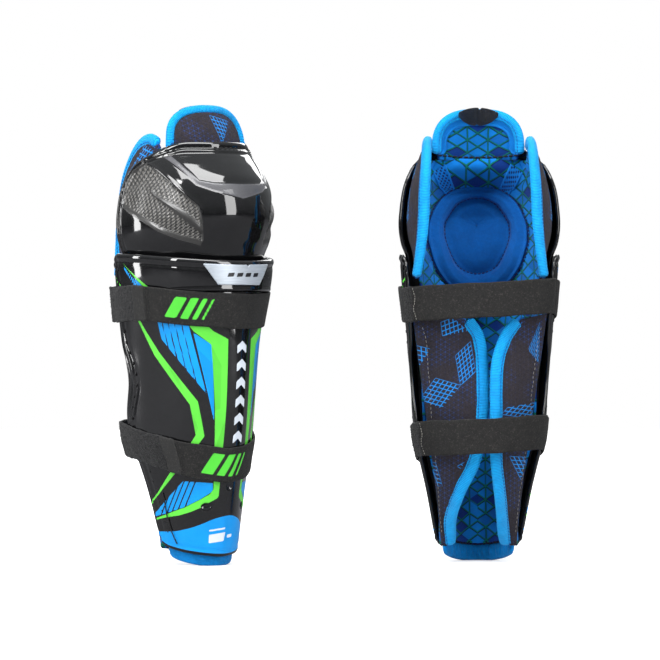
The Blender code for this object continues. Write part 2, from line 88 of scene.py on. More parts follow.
# Free edges of the wings, from the bottom up. The calf wings' lower ends curl in to the hem.
KNEE_WING_EDGE = (
    (-50, 17, 217), (-48.3, 21, 232), (-46.8, 24, 247), (-45.4, 24, 264), (-44.8, 22, 281),
    (-44.0, 17, 296), (-43.2, 9, 308), (-42.6, 0, 315.5), (-41.6, -10, 318), (-40.6, -19, 314),
)
LATERAL_WING_EDGE = (
    (-23.5, -11, 13), (-25, -2, 34), (-18.3, 12, 56), (-7, 17.5, 80),
    (-1.6, 18.6, 110), (-1.2, 18.6, 147), (-4.0, 20, 170), (-12, 20, 184),
)
MEDIAL_WING_EDGE = (
    (23, -11, 13), (20.5, 3, 36), (18, 16, 56), (15.2, 23, 80),
    (15.0, 27, 110), (15.4, 27, 147), (21, 25.5, 168), (31, 23.5, 184),
)
UPPER_STRAP = {
    "name": "upper", "width": 25.0, "panel_front": -0.64, "tab_front": -0.62, "tab_end": -0.695,
    "back": 37.0,
    "height": ((-2, 199), (-1, 195.5), (-0.66, 197), (-0.35, 193), (0, 190.5), (0.5, 193), (1, 202),
               (2, 199)),
}
LOWER_STRAP = {
    "name": "lower", "width": 25.0, "panel_front": -0.52, "tab_front": -0.5, "tab_end": -0.595,
    "back": 36.5,
    "height": ((-2, 97), (-1, 93), (-0.66, 86), (-0.35, 79), (0, 76), (0.5, 83), (1, 98.5), (2, 97)),
}

# --- Surfaces ---


def unit(v):
    return v / np.maximum(np.linalg.norm(v, axis=-1, keepdims=True), 1e-9)


def stack(*parts):
    return np.stack(np.broadcast_arrays(*parts), -1).astype(float)


def smooth_step(value, low, high):
    f = np.clip((value - low) / (high - low), 0, 1)
    return f * f * (3 - 2 * f)


def hill(value, middle, spread):
    return np.exp(-(((value - middle) / spread) ** 2))


def along(stations, at):
    """Smooth values through (place, value) stations, level beyond the ends."""
    xs, ys = (np.array(c, float) for c in zip(*stations))
    last = len(xs) - 1
    low, high = np.maximum(np.arange(last + 1) - 1, 0), np.minimum(np.arange(last + 1) + 1, last)
    slope = (ys[high] - ys[low]) / (xs[high] - xs[low])
    at = np.clip(at, xs[0], xs[-1])
    i = np.clip(np.searchsorted(xs, at, side="right") - 1, 0, last - 1)
    step = xs[i + 1] - xs[i]
    f = (at - xs[i]) / step
    blend = ys[i] + (ys[i + 1] - ys[i]) * f * f * (3 - 2 * f)
    return blend + slope[i] * step * f * (1 - f) ** 2 - slope[i + 1] * step * f * f * (1 - f)


def through(points, f):
    places = np.linspace(0, 1, len(points))
    return stack(*(along(tuple(zip(places, column)), f) for column in zip(*points)))


def section(turn, width, depth, power, widest, edge, reach):
    sine, cosine = np.sin(turn), np.cos(turn)
    share = 2.0 / power
    x = width * np.sign(sine) * np.abs(sine) ** share
    front = widest - (depth + widest) * np.maximum(cosine, 0) ** share
    return x, np.where(cosine >= 0, front, widest + (edge - widest) * cosine / np.cos(reach))


def collar_step(place, z, height=206.0, run=0.9):
    return 2.8 * smooth_step(z, height - run, height) * (1 - smooth_step(np.abs(place), 0.37, 0.56))


def shin_point(place, z, stepped=True):
    """The shin shell's outer face. place is -1 at the lateral edge and 1 at the medial one."""
    reach = np.radians(90.5 + 1.4 * (along(SHIN_EDGE, z) - along(SHIN_WIDEST, z)))
    grown = collar_step(place, z) if stepped else 0.0
    width, depth = along(SHIN_WIDTH, z) + grown, along(SHIN_DEPTH, z) + grown
    widest, edge = along(SHIN_WIDEST, z), along(SHIN_EDGE, z)
    return stack(*section(place * reach, width, depth, along(SHIN_POWER, z), widest, edge, reach), z)


def plain_shin(place, z):
    return shin_point(place, z, stepped=False)


def cap_point(share, z):
    turn = np.radians(share * along(CAP_REACH, z))
    return stack(*section(turn, along(CAP_WIDTH, z), along(CAP_DEPTH, z), 2.0, 0.0, 43.0, math.pi), z)


def moved(surface, a, b, distance):
    """The surface's points at (a, b), moved along its outward normal."""
    across = surface(a + 0.004, b) - surface(a - 0.004, b)
    up = surface(a, b + 0.5) - surface(a, b - 0.5)
    return surface(a, b) + unit(np.cross(across, up)) * np.asarray(distance, float)[..., None]


def shell_bottom(place):
    corner = np.maximum(0.0, (np.abs(place) - 0.85) / 0.15)
    return 8.0 + 10.0 * place**2 + 5 * corner**2


def shell_top(place):
    corner = np.maximum(0.0, (np.abs(place) - 0.88) / 0.12)
    return 233.0 - 6.0 * np.cos(place * math.pi / 2) ** 2 - 7 * corner**2


def pad_point(x, rise):
    """The knee liner's inner face, at x across and rise above the knee pad's middle."""
    z = 250.0 + rise
    depth = 13.3
    share = np.degrees(np.arcsin(np.clip(x / (along(CAP_WIDTH, z) - depth), -1, 1))) / along(CAP_REACH, z)
    return moved(cap_point, share, z, -depth + 0 * share)


def knee_wing_point(u, v):
    """The lateral knee wing. u runs from inside the cap's edge to the free edge."""
    z = 217.0 + 87.0 * v
    share = (88 - 26 * v**4) / along(CAP_REACH, z)
    start = moved(cap_point, -share, z, -5.7 + 0 * share)
    bulge = 16 * np.sin(math.pi * np.minimum(1.0, 0.04 + v)) * u * (1 - u)
    return start + (through(KNEE_WING_EDGE, v) - start) * u[...,
            None] + np.array((-0.8, 0.5, 0)) * bulge[..., None]


def calf_wing_point(edge, side):
    """A calf wing from its hinge line (side 1 is lateral, -1 medial) to its free edge."""

    def point(u, v):
        free = through(edge, v)
        start = stack((-27.5 - 23.0 * v) * side, -8.5 + 21.0 * v + 0.6, 14 + 174 * v)
        bulge = 28 * np.minimum(1.0, np.linalg.norm(free - start, axis=-1) / 55) ** 2 * u * (1 - u)
        return start + (free - start) * u[..., None] + np.array((-0.55 * side, 0.8, 0)) * bulge[..., None]

    return point


def flap_height(share):
    return 9.0 + 24.0 * np.maximum(0.0, 1 - np.abs(share) ** 2.7) ** (1 / 2.7)


def flap_point(x, up, offset=0.0):
    """The thigh flap's front face, at x across and up above its seam, moved forward by offset."""
    bulge = np.cos(np.minimum(1.0, np.abs(x) / 36.5) * math.pi / 2)
    return stack(x, -25.5 - 16.0 * bulge + 0.05 * up + 0.0075 * up**2 - offset, 307.0 + up)


def strap_point(strap, place, across, lift):
    """A point on a strap: place runs round the leg, across from -1 to 1 over its width."""
    half = strap["width"] / 2
    height = along(strap["height"], place)
    z = height + across * half
    inner = np.clip(place, -1, 1)
    rise = 2.8 * smooth_step(height + half, 204.5, 206.0) * (1 - smooth_step(np.abs(place), 0.37, 0.56))
    near = moved(plain_shin, inner, z,
                 lift + np.where(np.abs(place) <= 1, rise * np.minimum(1, 0.65 * (across + 1)), 0))
    # Behind the shell the strap runs in one curve from edge to edge.
    corner = moved(plain_shin, np.sign(place) + 0 * z, z, lift)
    run = (strap["back"] + lift - corner[..., 1]) / 0.75
    f = np.clip((np.abs(place) - 1) / 2, 0, 1)
    x = corner[..., 0] * ((1 - f) ** 3 + 3 * f * (1 - f) ** 2 - 3 * f**2 * (1 - f) - f**3)
    far = stack(x, corner[..., 1] + run * 3 * f * (1 - f), z)
    return np.where((np.abs(place) <= 1)[..., None], near, far)


# --- Shapes: (points in millimetres, faces, numbers for each point) ---


def grid_normals(grid, closed=False):
    if closed:
        across = np.roll(grid, -1, 0) - np.roll(grid, 1, 0)
    else:
        across = np.gradient(grid, axis=0)
    return unit(np.cross(across, np.gradient(grid, axis=1)))


def ring_of(n, m):
    """Indices round the border of an n by m grid."""
    i = np.arange(n)
    j = np.arange(1, m)
    bottom, right = i * m, (n - 1) * m + j
    top, left = (i[::-1][1:]) * m + m - 1, j[::-1][1:]
    return np.concatenate([bottom, right, top, left])


def rim_between(points, ring, shift, bulge, steps, out):
    """Half-round rings from each point of ring to the one shift further on, bulging outwards."""
    a, b = points[ring], points[ring + shift]
    middle, arm = (a + b) / 2, (a - b) / 2
    rings = []
    for k in range(1, steps):
        angle = math.pi * k / steps
        rings.append(middle + arm * math.cos(angle) + out * (bulge * math.sin(angle)))
    return rings


def slab(outer, inner, data, rim=0.5, steps=4, closed=False):
    """A closed sheet between two grids of points, with a half-round rim. data holds a grid for each name."""
    n, m = outer.shape[:2]
    count = n * m
    points = np.concatenate([outer.reshape(-1, 3), inner.reshape(-1, 3)])
    index = np.arange(count).reshape(n, m)
    nxt = np.roll(index, -1, 0) if closed else index[1:]
    cur = index if closed else index[:-1]
    quads = np.stack([cur[:, :-1], nxt[:, :-1], nxt[:, 1:], cur[:, 1:]], -1).reshape(-1, 4)
    faces = [quads, quads[:, ::-1] + count]
    values = {k: np.concatenate([np.asarray(v, float).reshape(count, -1)] * 2) for k, v in data.items()}
    values["side"] = np.concatenate([np.zeros((count, 1)), np.ones((count, 1))])
    if closed:
        rings = [(index[:, 0], index[:, 1]), (index[::-1, m - 1], index[::-1, m - 2])]
    else:
        rings = [(ring_of(n, m), None)]
    for ring, inside in rings:
        a = points[ring]
        if inside is None:
            i, j = ring // m, ring % m
            inside = np.clip(i, 1, n - 2) * m + np.clip(j, 1, m - 2)
        heading = np.roll(a, -1, 0) - np.roll(a, 1, 0)
        wall = unit(a - points[ring + count])
        out = unit(np.cross(heading, wall))
        out *= np.sign(np.sum(out * (a - points[inside]), -1, keepdims=True) + 1e-12)
        thickness = np.linalg.norm(a - points[ring + count], axis=-1, keepdims=True)
        loops = [ring]
        for extra in rim_between(points, ring, count, rim * thickness, steps, out):
            loops.append(np.arange(len(ring)) + len(points))
            points = np.concatenate([points, extra])
            for k in values:
                edge = values[k][ring] if k != "side" else np.full((len(ring), 1), 0.5)
                values[k] = np.concatenate([values[k], edge])
        loops.append(ring + count)
        for upper, lower in zip(loops, loops[1:]):
            band = np.stack([upper, lower, np.roll(lower, -1), np.roll(upper, -1)], -1)
            faces.append(band)
    return points, [tuple(f) for part in faces for f in part.tolist()], values


def joined(shapes):
    """Several shapes as one, keeping no numbers but st."""
    points, faces, st, start = [], [], [], 0
    for p, f, d in shapes:
        points.append(p)
        faces += [tuple(i + start for i in face) for face in f]
        st.append(d["st"] if "st" in d else np.zeros((len(p), 3)))
        start += len(p)
    return np.concatenate(points), faces, {"st": np.concatenate(st)}


def resampled(path, pitch):
    """Points along a path, spaced by pitch, and their positions on it."""
    steps = np.linalg.norm(np.diff(path, axis=0), axis=-1)
    run = np.concatenate([[0], np.cumsum(steps)])
    count = max(2, int(round(run[-1] / pitch)) + 1)
    at = np.linspace(0, run[-1], count)
    return np.stack([np.interp(at, run, path[:, k]) for k in range(3)], -1), at


def stitches(path, pitch, length, radius, wander=0.0):
    """Short threads along a path, each one shifted sideways by chance by up to half of wander."""
    middles = resampled(path, pitch)[0]
    heading = unit(np.gradient(middles, axis=0))
    side = unit(np.cross(heading, np.array((0.13, 0.21, 1.0))))
    other = np.cross(heading, side)
    shares = ((-1.0, 0.3), (-0.75, 0.95), (0.0, 1.1), (0.75, 0.95), (1.0, 0.3))
    sides = 6
    around = np.arange(sides) * 2 * math.pi / sides
    parts = []
    for k, middle in enumerate(middles):
        rings = []
        shift = side[k] * wander * (RNG.random() - 0.5)
        for share, size in shares:
            centre = middle + shift + heading[k] * share * length / 2
            spokes = np.cos(around)[:, None] * side[k] + np.sin(around)[:, None] * other[k]
            rings.append(centre + spokes * radius * size)
        points = np.concatenate(rings)
        faces = [tuple(range(sides))[::-1], tuple(range(4 * sides, 5 * sides))]
        for r in range(4):
            for q in range(sides):
                a, b = r * sides + q, r * sides + (q + 1) % sides
                faces.append((a, b, b + sides, a + sides))
        parts.append((points, faces, {}))
    return joined(parts)


def tube_faces(count, sides):
    """Faces of a capped tube of count rings."""
    index = np.arange(count * sides).reshape(count, sides)
    a, b = index[:-1], index[1:]
    quads = np.stack([a, np.roll(a, -1, 1), np.roll(b, -1, 1), b], -1).reshape(-1, 4)
    return [tuple(q) for q in quads.tolist()] + [tuple(index[0][::-1].tolist()), tuple(index[-1].tolist())]


def tape(path, across, half_width, half_depth, pitch=0.9, wrinkle=0.12):
    """A folded binding along a path. across points from each path point towards the cloth inside it."""
    middle, at = resampled(path, pitch)
    share = np.linspace(0, 1, len(path))
    share_at = np.linspace(0, 1, len(middle))
    inward = np.stack([np.interp(share_at, share, across[:, k]) for k in range(3)], -1)
    heading = unit(np.gradient(middle, axis=0))
    inward = unit(inward - heading * np.sum(inward * heading, -1, keepdims=True))
    normal = np.cross(heading, inward)
    sides = 28
    angle = np.arange(sides) * 2 * math.pi / sides
    count = len(middle)
    ends = np.minimum(1.0, 0.25 + np.sqrt(np.minimum(at, at[-1] - at) / 3.5))
    slow = np.interp(at, np.arange(0, at[-1] + 14, 7), RNG.normal(0, 1, len(np.arange(0, at[-1] + 14, 7))))
    pucker = 1 + 0.02 * slow + wrinkle * 0.25 * np.sin(at * 2 * math.pi / 2.6)
    c, s = np.cos(angle), np.sin(angle)
    # Round at the fold, thinner towards the stitched edge.
    wide = np.sign(c) * np.abs(c) ** 0.85
    depth = np.sign(s) * np.abs(s) ** 0.8 * (1 - 0.30 * smooth_step(wide, 0.2, 0.5) + 0.05 * hill(wide, 0.8,
                                                                                                  0.15))
    grid = (
        middle[:, None]
        + inward[:, None] * (half_width * wide)[None, :, None] * ends[:, None, None]
        + normal[:, None] * (half_depth * depth)[None, :, None] * (ends * pucker)[:, None, None]
    )
    points = grid.reshape(-1, 3)
    st = stack(at[:, None], wide[None], 0 * at[:, None]).reshape(-1, 3)
    edge = middle + inward * half_width * 0.5
    return (points, tube_faces(count, sides), {"st": st}), edge, normal


def to_shape_distance(s, z, outline):
    """Signed distance in millimetres to a closed outline of (s, z) points, positive inside it."""
    points = np.array(outline, float)
    p = np.stack([s, z], -1)
    best = np.full(s.shape, 1e9)
    inside = np.zeros(s.shape, bool)
    for a, b in zip(points, np.roll(points, -1, 0)):
        ab, ap = b - a, p - a
        t = np.clip((ap @ ab) / max(ab @ ab, 1e-9), 0, 1)
        best = np.minimum(best, np.linalg.norm(ap - t[..., None] * ab, axis=-1))
        crosses = (a[1] > p[..., 1]) != (b[1] > p[..., 1])
        at = a[0] + (p[..., 1] - a[1]) * (b[0] - a[0]) / (b[1] - a[1] if b[1] != a[1] else 1e-9)
        inside ^= crosses & (p[..., 0] < at)
    return np.where(inside, best, -best)


def any_of(s, z, outlines):
    return np.max([to_shape_distance(s, z, o) for o in outlines], axis=0)


def to_line_distance(s, z, line):
    """Distance in millimetres to an open line of (s, z) points."""
    p = np.stack([s, z], -1)
    best = np.full(s.shape, 1e9)
    for a, b in zip(line, line[1:]):
        a, b = np.array(a, float), np.array(b, float)
        ab, ap = b - a, p - a
        t = np.clip((ap @ ab) / (ab @ ab), 0, 1)
        best = np.minimum(best, np.linalg.norm(ap - t[..., None] * ab, axis=-1))
    return best


def distance_round(grid):
    """How far each point is from the middle column, measured along its row."""
    steps = np.linalg.norm(np.diff(grid, axis=0), axis=-1)
    run = np.concatenate([np.zeros((1, grid.shape[1])), np.cumsum(steps, 0)])
    middle = (grid.shape[0] - 1) / 2
    low, high = int(math.floor(middle)), int(math.ceil(middle))
    return run - (run[low] + run[high]) / 2


def mesh_grid(n, m, low=-1.0, high=1.0):
    return np.meshgrid(np.linspace(low, high, n), np.linspace(0, 1, m), indexing="ij")


# --- Swelling padded pieces with a cloth simulation ---


def swell(outer, inner, cap, pinned=None, closed=False, pressure=LINING_PRESSURE):
    """Blow up the closed cushion between two coarse grids. Returns how far the points of both grids move."""
    n, m = outer.shape[:2]
    points, faces, _ = slab(outer, inner, {}, rim=0.0, steps=1, closed=closed)
    fixed = np.zeros((n, m), bool)
    fixed[:, 0] = fixed[:, -1] = True
    if not closed:
        fixed[0] = fixed[-1] = True
    if pinned is not None:
        fixed |= pinned
    mesh = bpy.data.meshes.new("swelling")
    mesh.from_pydata((points * MM).tolist(), [], faces)
    obj = bpy.data.objects.new("swelling", mesh)
    bpy.context.scene.collection.objects.link(obj)
    group = obj.vertex_groups.new(name="seams")
    flat = np.flatnonzero(fixed.reshape(-1))
    group.add([int(i) for i in np.concatenate([flat, flat + n * m])], 1.0, "REPLACE")
    cloth = obj.modifiers.new("cloth", "CLOTH")
    settings = cloth.settings
    settings.quality = 5
    settings.mass = 0.02
    settings.use_pressure = True
    settings.uniform_pressure_force = pressure
    settings.effector_weights.gravity = 0
    settings.vertex_group_mass = "seams"
    settings.tension_stiffness = settings.compression_stiffness = 12
    settings.bending_stiffness = 0.4
    scene = bpy.context.scene
    for number in range(1, SWELL_FRAMES + 1):
        scene.frame_set(number)
    moved_mesh = obj.evaluated_get(bpy.context.evaluated_depsgraph_get()).to_mesh()
    after = np.empty(len(points) * 3)
    moved_mesh.vertices.foreach_get("co", after)
    shift = after.reshape(-1, 3) / MM - points
    size = np.linalg.norm(shift, axis=-1, keepdims=True)
    shift *= np.tanh(size / cap) * cap / np.maximum(size, 1e-9)
    bpy.data.objects.remove(obj, do_unlink=True)
    scene.frame_set(1)
    return shift[: n * m].reshape(n, m, 3), shift[n * m :].reshape(n, m, 3)


def soften(field, times, closed=False):
    """Even out a grid of vectors, leaving its borders."""
    for _ in range(times):
        if closed:
            field = (np.roll(field, 1, 0) + 2 * field + np.roll(field, -1, 0)) / 4
        else:
            field[1:-1] = (field[:-2] + 2 * field[1:-1] + field[2:]) / 4
        field[:, 1:-1] = (field[:, :-2] + 2 * field[:, 1:-1] + field[:, 2:]) / 4
    return field


def finer(field, n, m, closed=False):
    """A coarse grid of vectors read off on an n by m grid."""
    if closed:
        field = np.concatenate([field, field[:1]])
    rows, columns = field.shape[:2]
    at_i = np.linspace(0, rows - 1, n + 1 if closed else n)[: n]
    at_j = np.linspace(0, columns - 1, m)
    half = np.stack([[np.interp(at_i, np.arange(rows),
                                field[:, j, k]) for j in range(columns)] for k in range(3)])
    full = np.stack([[np.interp(at_j, np.arange(columns),
                                half[k, :, i]) for i in range(n)] for k in range(3)])
    return soften(np.moveaxis(full, 0, -1), 4, closed)


def cushion(point, wall, coarse, fine, cap, flip=False, seams=None, slim=0.6, wrinkle=0.0, closed=False,
            thin=None, pressure=PAD_PRESSURE):
    """Outer and inner grids of a padded sheet on point(u, v), swollen by simulation.

    thin(v) is the share of wall that is its thickness, and slim is how far each face starts inside it.
    """

    def grids(n, m):
        u, v = np.meshgrid(np.linspace(0, 1, n, endpoint=not closed), np.linspace(0, 1, m), indexing="ij")
        outer = point(1 - u if flip else u, v)
        normal = grid_normals(outer, closed)
        return u, v, outer, normal

    def depth(v):
        return (wall * (thin(v) if thin else 1 + 0 * v))[..., None]

    u, v, outer, normal = grids(*coarse)
    inner = outer - normal * depth(v)
    pinned = seams(u, v) if seams else None
    out, back = swell(outer - normal * slim, inner + normal * slim, cap, pinned, closed, pressure)
    u, v, outer, normal = grids(*fine)
    ripple = wrinkle * np.sin(u * 61 + 3 * np.sin(v * 17)) * np.sin(v * 47 + 2 * np.sin(u * 13))
    lean = normal * ripple[..., None]
    outer_face = outer - normal * slim + finer(out, *fine, closed=closed) + lean
    inner_face = outer - normal * (depth(v) - slim) + finer(back, *fine, closed=closed) - lean
    return u, v, outer_face, inner_face


# --- Materials ---


def colour(r, g, b):
    """sRGB values as a linear colour."""
    return tuple(c / 12.92 if c <= 0.04045 else ((c + 0.055) / 1.055) ** 2.4 for c in (r, g, b)) + (1.0,)


AZURE = colour(0.0, 0.67, 0.95)
PRINT_BLUE = colour(0.0, 0.55, 0.86)
GREEN = colour(0.36, 0.80, 0.25)
PINE = colour(0.0, 0.42, 0.36)
INK = colour(0.02, 0.06, 0.22)
JET = colour(0.035, 0.035, 0.04)
SILVER = colour(0.70, 0.73, 0.76)
PALE = colour(0.80, 0.83, 0.87)


def dimmed(hue, share):
    return tuple(c * share for c in hue[:3]) + (1.0,)


class Look:
    """A node material, built with short calls."""

    def __init__(self, name, **sockets):
        self.material = bpy.data.materials.new(name)
        self.material.use_nodes = True
        self.tree = self.material.node_tree
        self.shader = self.tree.nodes["Principled BSDF"]
        for key, value in sockets.items():
            self.shader.inputs[key.replace("_", " ")].default_value = value
        self.object_place = None

    def node(self, kind, inputs=(), **settings):
        made = self.tree.nodes.new("ShaderNode" + kind)
        for key, value in settings.items():
            setattr(made, key, value)
        for key, value in dict(inputs).items():
            self.feed(made.inputs[key], value)
        return made

    def feed(self, socket, value):
        if isinstance(value, bpy.types.NodeSocket):
            self.tree.links.new(value, socket)
        else:
            socket.default_value = value

    def set(self, socket, value):
        self.feed(self.shader.inputs[socket], value)

    def number(self, name):
        return self.node("Attribute", attribute_name=name).outputs["Fac"]

    def place(self):
        """(s, z, 0) in millimetres."""
        return self.node("Attribute", attribute_name="st").outputs["Vector"]

    def space(self):
        """The piece's own coordinates, in millimetres."""
        if self.object_place is None:
            found = self.node("TexCoord").outputs["Object"]
            self.object_place = self.node("VectorMath", {0: found, "Scale": 1000.0},
                                          operation="SCALE").outputs[0]
        return self.object_place

    def math(self, operation, a, b=0.0, c=0.0):
        return self.node("Math", {0: a, 1: b, 2: c}, operation=operation).outputs[0]

    def times(self, a, b):
        return self.math("MULTIPLY", a, b)

    def plus(self, a, b):
        return self.math("ADD", a, b)

    def minus(self, a, b):
        return self.math("SUBTRACT", a, b)

    def wave(self, run, pitch):
        return self.math("SINE", self.times(run, 2 * math.pi / pitch))

    def ramp(self, value, low, high, to_low=0.0, to_high=1.0):
        inputs = {0: value, 1: low, 2: high, 3: to_low, 4: to_high}
        return self.node("MapRange", inputs).outputs[0]

    def inside(self, name, blur=0.12):
        return self.ramp(self.number(name), -blur, blur)

    def blend(self, factor, a, b):
        made = self.node("Mix", data_type="RGBA")
        self.feed(made.inputs["Factor"], factor)
        self.feed(made.inputs[6], a)
        self.feed(made.inputs[7], b)
        return made.outputs[2]

    def shaded(self, hue, share):
        """A colour times a grey."""
        made = self.node("Mix", data_type="RGBA", blend_type="MULTIPLY")
        made.inputs["Factor"].default_value = 1.0
        self.feed(made.inputs[6], hue)
        self.feed(made.inputs[7], self.node("CombineColor", {0: share, 1: share, 2: share}).outputs[0])
        return made.outputs[2]

    def noise(self, scale, detail=3.0, roughness=0.55, where=None):
        inputs = {"Vector": where or self.space(), "Scale": scale, "Detail": detail, "Roughness": roughness}
        return self.node("TexNoise", inputs).outputs[0]

    def bump(self, height, distance, strength=1.0, under=None):
        inputs = {"Height": height, "Distance": distance * MM, "Strength": strength}
        if under is not None:
            inputs["Normal"] = under
        return self.node("Bump", inputs).outputs[0]

    def split(self, vector):
        return self.node("SeparateXYZ", {0: vector}).outputs

    def lines(self, a, b, degrees, pitch, width, blur=0.18):
        """1 on parallel lines across the (a, b) plane, pitch apart."""
        turn = math.radians(degrees)
        run = self.plus(self.times(a, math.cos(turn) / pitch),
                        self.times(b, math.sin(turn) / pitch))
        off = self.from_whole(run)
        half = width / 2 / pitch
        return self.ramp(off, half + blur / pitch, half), run

    def from_whole(self, run):
        """How far a number is from the nearest whole one."""
        return self.math("ABSOLUTE", self.minus(self.math("FRACT", self.plus(run, 0.5)), 0.5))

    def chance(self, a, b, seed):
        cell = self.node("CombineXYZ", {0: a, 1: b, 2: seed}).outputs[0]
        return self.node("TexWhiteNoise", {"Vector": cell}, noise_dimensions="3D").outputs[0]

    def most(self, *values):
        found = values[0]
        for value in values[1:]:
            found = self.math("MAXIMUM", found, value)
        return found

    def weave(self, pitch_a, pitch_b):
        """Height of an over-and-under weave in the piece's (s, z) plane."""
        s, z, _ = self.split(self.place())
        wave_a = self.wave(s, pitch_a)
        wave_b = self.wave(z, pitch_b)
        return self.times(wave_a, wave_b)


def shell_look():
    """Clear-coated black plastic with printed green, blue and white shapes, painted shade on some facets, and
    painted shade in the vents.
    """
    look = Look("printed_plastic", Coat_Weight=0.7, Coat_Roughness=0.03)
    grime = look.noise(0.35, 5.0, 0.65)
    base = look.blend(look.ramp(grime, 0.35, 0.75), JET, colour(0.07, 0.07, 0.075))
    # Painted facet shade: inside the facet shapes the colour is darkened to 0.84 of itself.
    facet_shade = look.ramp(look.number("facet_shade"), -0.2, 0.2, 1.0, 0.84)
    shade = look.noise(0.045, 2.0)
    found = base
    printed = None
    for name, hue in (("blue", PRINT_BLUE), ("green", GREEN), ("white", PALE)):
        mask = look.inside(name)
        darker = dimmed(hue, 0.86)
        lit = look.blend(look.ramp(shade, 0.3, 0.7), darker, hue)
        found = look.blend(mask, found, lit)
        printed = mask if printed is None else look.most(printed, mask)
    # Painted shade: the vent recesses are painted near black.
    dark = look.blend(look.inside("vent"), look.shaded(found, facet_shade), colour(0.02, 0.03, 0.05))
    within = look.ramp(look.number("side"), 0.25, 0.5)
    look.set("Base Color", look.blend(within, dark, JET))
    look.set("Coat Weight", look.ramp(printed, 0, 1, 0.7, 0.25))
    look.set("Specular IOR Level", look.ramp(printed, 0, 1, 0.5, 0.2))
    matt = look.ramp(printed, 0, 1, 0.07, 0.4)
    scuffs = look.ramp(look.noise(1.6, 6.0, 0.7), 0.5, 0.8, 0.0, 0.06)
    look.set("Roughness", look.plus(look.plus(matt, scuffs), look.times(within, 0.3)))
    wavy = look.bump(look.noise(0.028, 1.0), 1.6, 0.55)
    fine = look.bump(look.noise(0.5, 2.0), 0.03, 0.35, wavy)
    film = look.bump(printed, 0.05, 0.5, fine)
    look.set("Normal", film)
    look.set("Coat Normal", wavy)
    return look.material


def cap_look():
    """Polished black plastic with a frosted band and a woven-look panel."""
    look = Look("polished_plastic", Coat_Weight=0.55, Coat_Roughness=0.02)
    fin = look.inside("fin", 0.3)
    frost = look.inside("frost", 0.25)
    s, z, _ = look.split(look.place())
    one = look.lines(s, z, 10, 3.8, 1.3, 0.7)[0]
    two = look.lines(s, z, 128, 2.2, 1.0, 0.4)[0]
    twill = look.inside("twill", 0.4)
    cloth = look.times(look.minus(two, look.times(one, 0.8)), twill)
    sheen = look.ramp(look.noise(0.06, 2.0), 0.3, 0.7, 0.7, 1.0)
    satin = look.blend(twill, colour(0.16, 0.158, 0.155), colour(0.08, 0.08, 0.08))
    woven = look.blend(look.times(look.ramp(cloth, 0.0, 0.9), sheen), satin, colour(0.40, 0.39, 0.375))
    speck = look.noise(2.2, 4.0, 0.7)
    frosted = look.blend(look.ramp(speck, 0.35, 0.7), colour(0.20, 0.20, 0.21), colour(0.34, 0.34, 0.36))
    base = look.blend(look.ramp(look.noise(0.2, 4.0), 0.4, 0.8), JET, colour(0.06, 0.06, 0.065))
    found = look.blend(fin, look.blend(frost, base, frosted), woven)
    look.set("Base Color", look.blend(look.ramp(look.number("side"), 0.25, 0.5), found, JET))
    matt = look.plus(look.times(frost, 0.36), look.times(fin, 0.30))
    look.set("Roughness", look.plus(matt, look.ramp(speck, 0.4, 0.9, 0.05, 0.12)))
    wavy = look.bump(look.noise(0.024, 1.0), 1.2, 0.35)
    rough = look.bump(look.times(speck, frost), 0.08, 0.8, wavy)
    look.set("Normal", look.bump(look.times(cloth, fin), 0.3, 0.9, rough))
    look.set("Coat Normal", look.bump(look.times(cloth, fin), 0.2, 0.7, wavy))
    return look.material


def knit_finish(look, found, pitch=0.62, depth=0.13):
    """The fine knit, pilling and sheen that the padded fabrics share."""
    look.shader.inputs["Sheen Weight"].default_value = 0.06
    look.shader.inputs["Sheen Roughness"].default_value = 0.4
    look.shader.inputs["Specular IOR Level"].default_value = 0.2
    weave = look.weave(pitch, pitch * 1.35)
    fuzz = look.noise(2.6, 4.0, 0.7)
    slow = look.noise(0.09, 3.0)
    shade = look.plus(look.ramp(weave, -1, 1, 0.86, 1.06), look.ramp(fuzz, 0.3, 0.7, -0.08, 0.08))
    shade = look.times(shade, look.ramp(slow, 0.3, 0.7, 0.88, 1.06))
    look.set("Base Color", look.shaded(found, shade))
    look.set("Roughness", look.ramp(fuzz, 0.3, 0.7, 0.78, 0.94))
    soft = look.bump(look.noise(0.22, 3.0), 0.5, 0.5)
    look.set("Normal", look.bump(look.plus(weave, fuzz), depth, 0.8, soft))


def plain_knit(name, hue):
    look = Look(name)
    knit_finish(look, look.blend(look.ramp(look.noise(0.5), 0.3, 0.75), dimmed(hue, 0.8), hue))
    return look.material


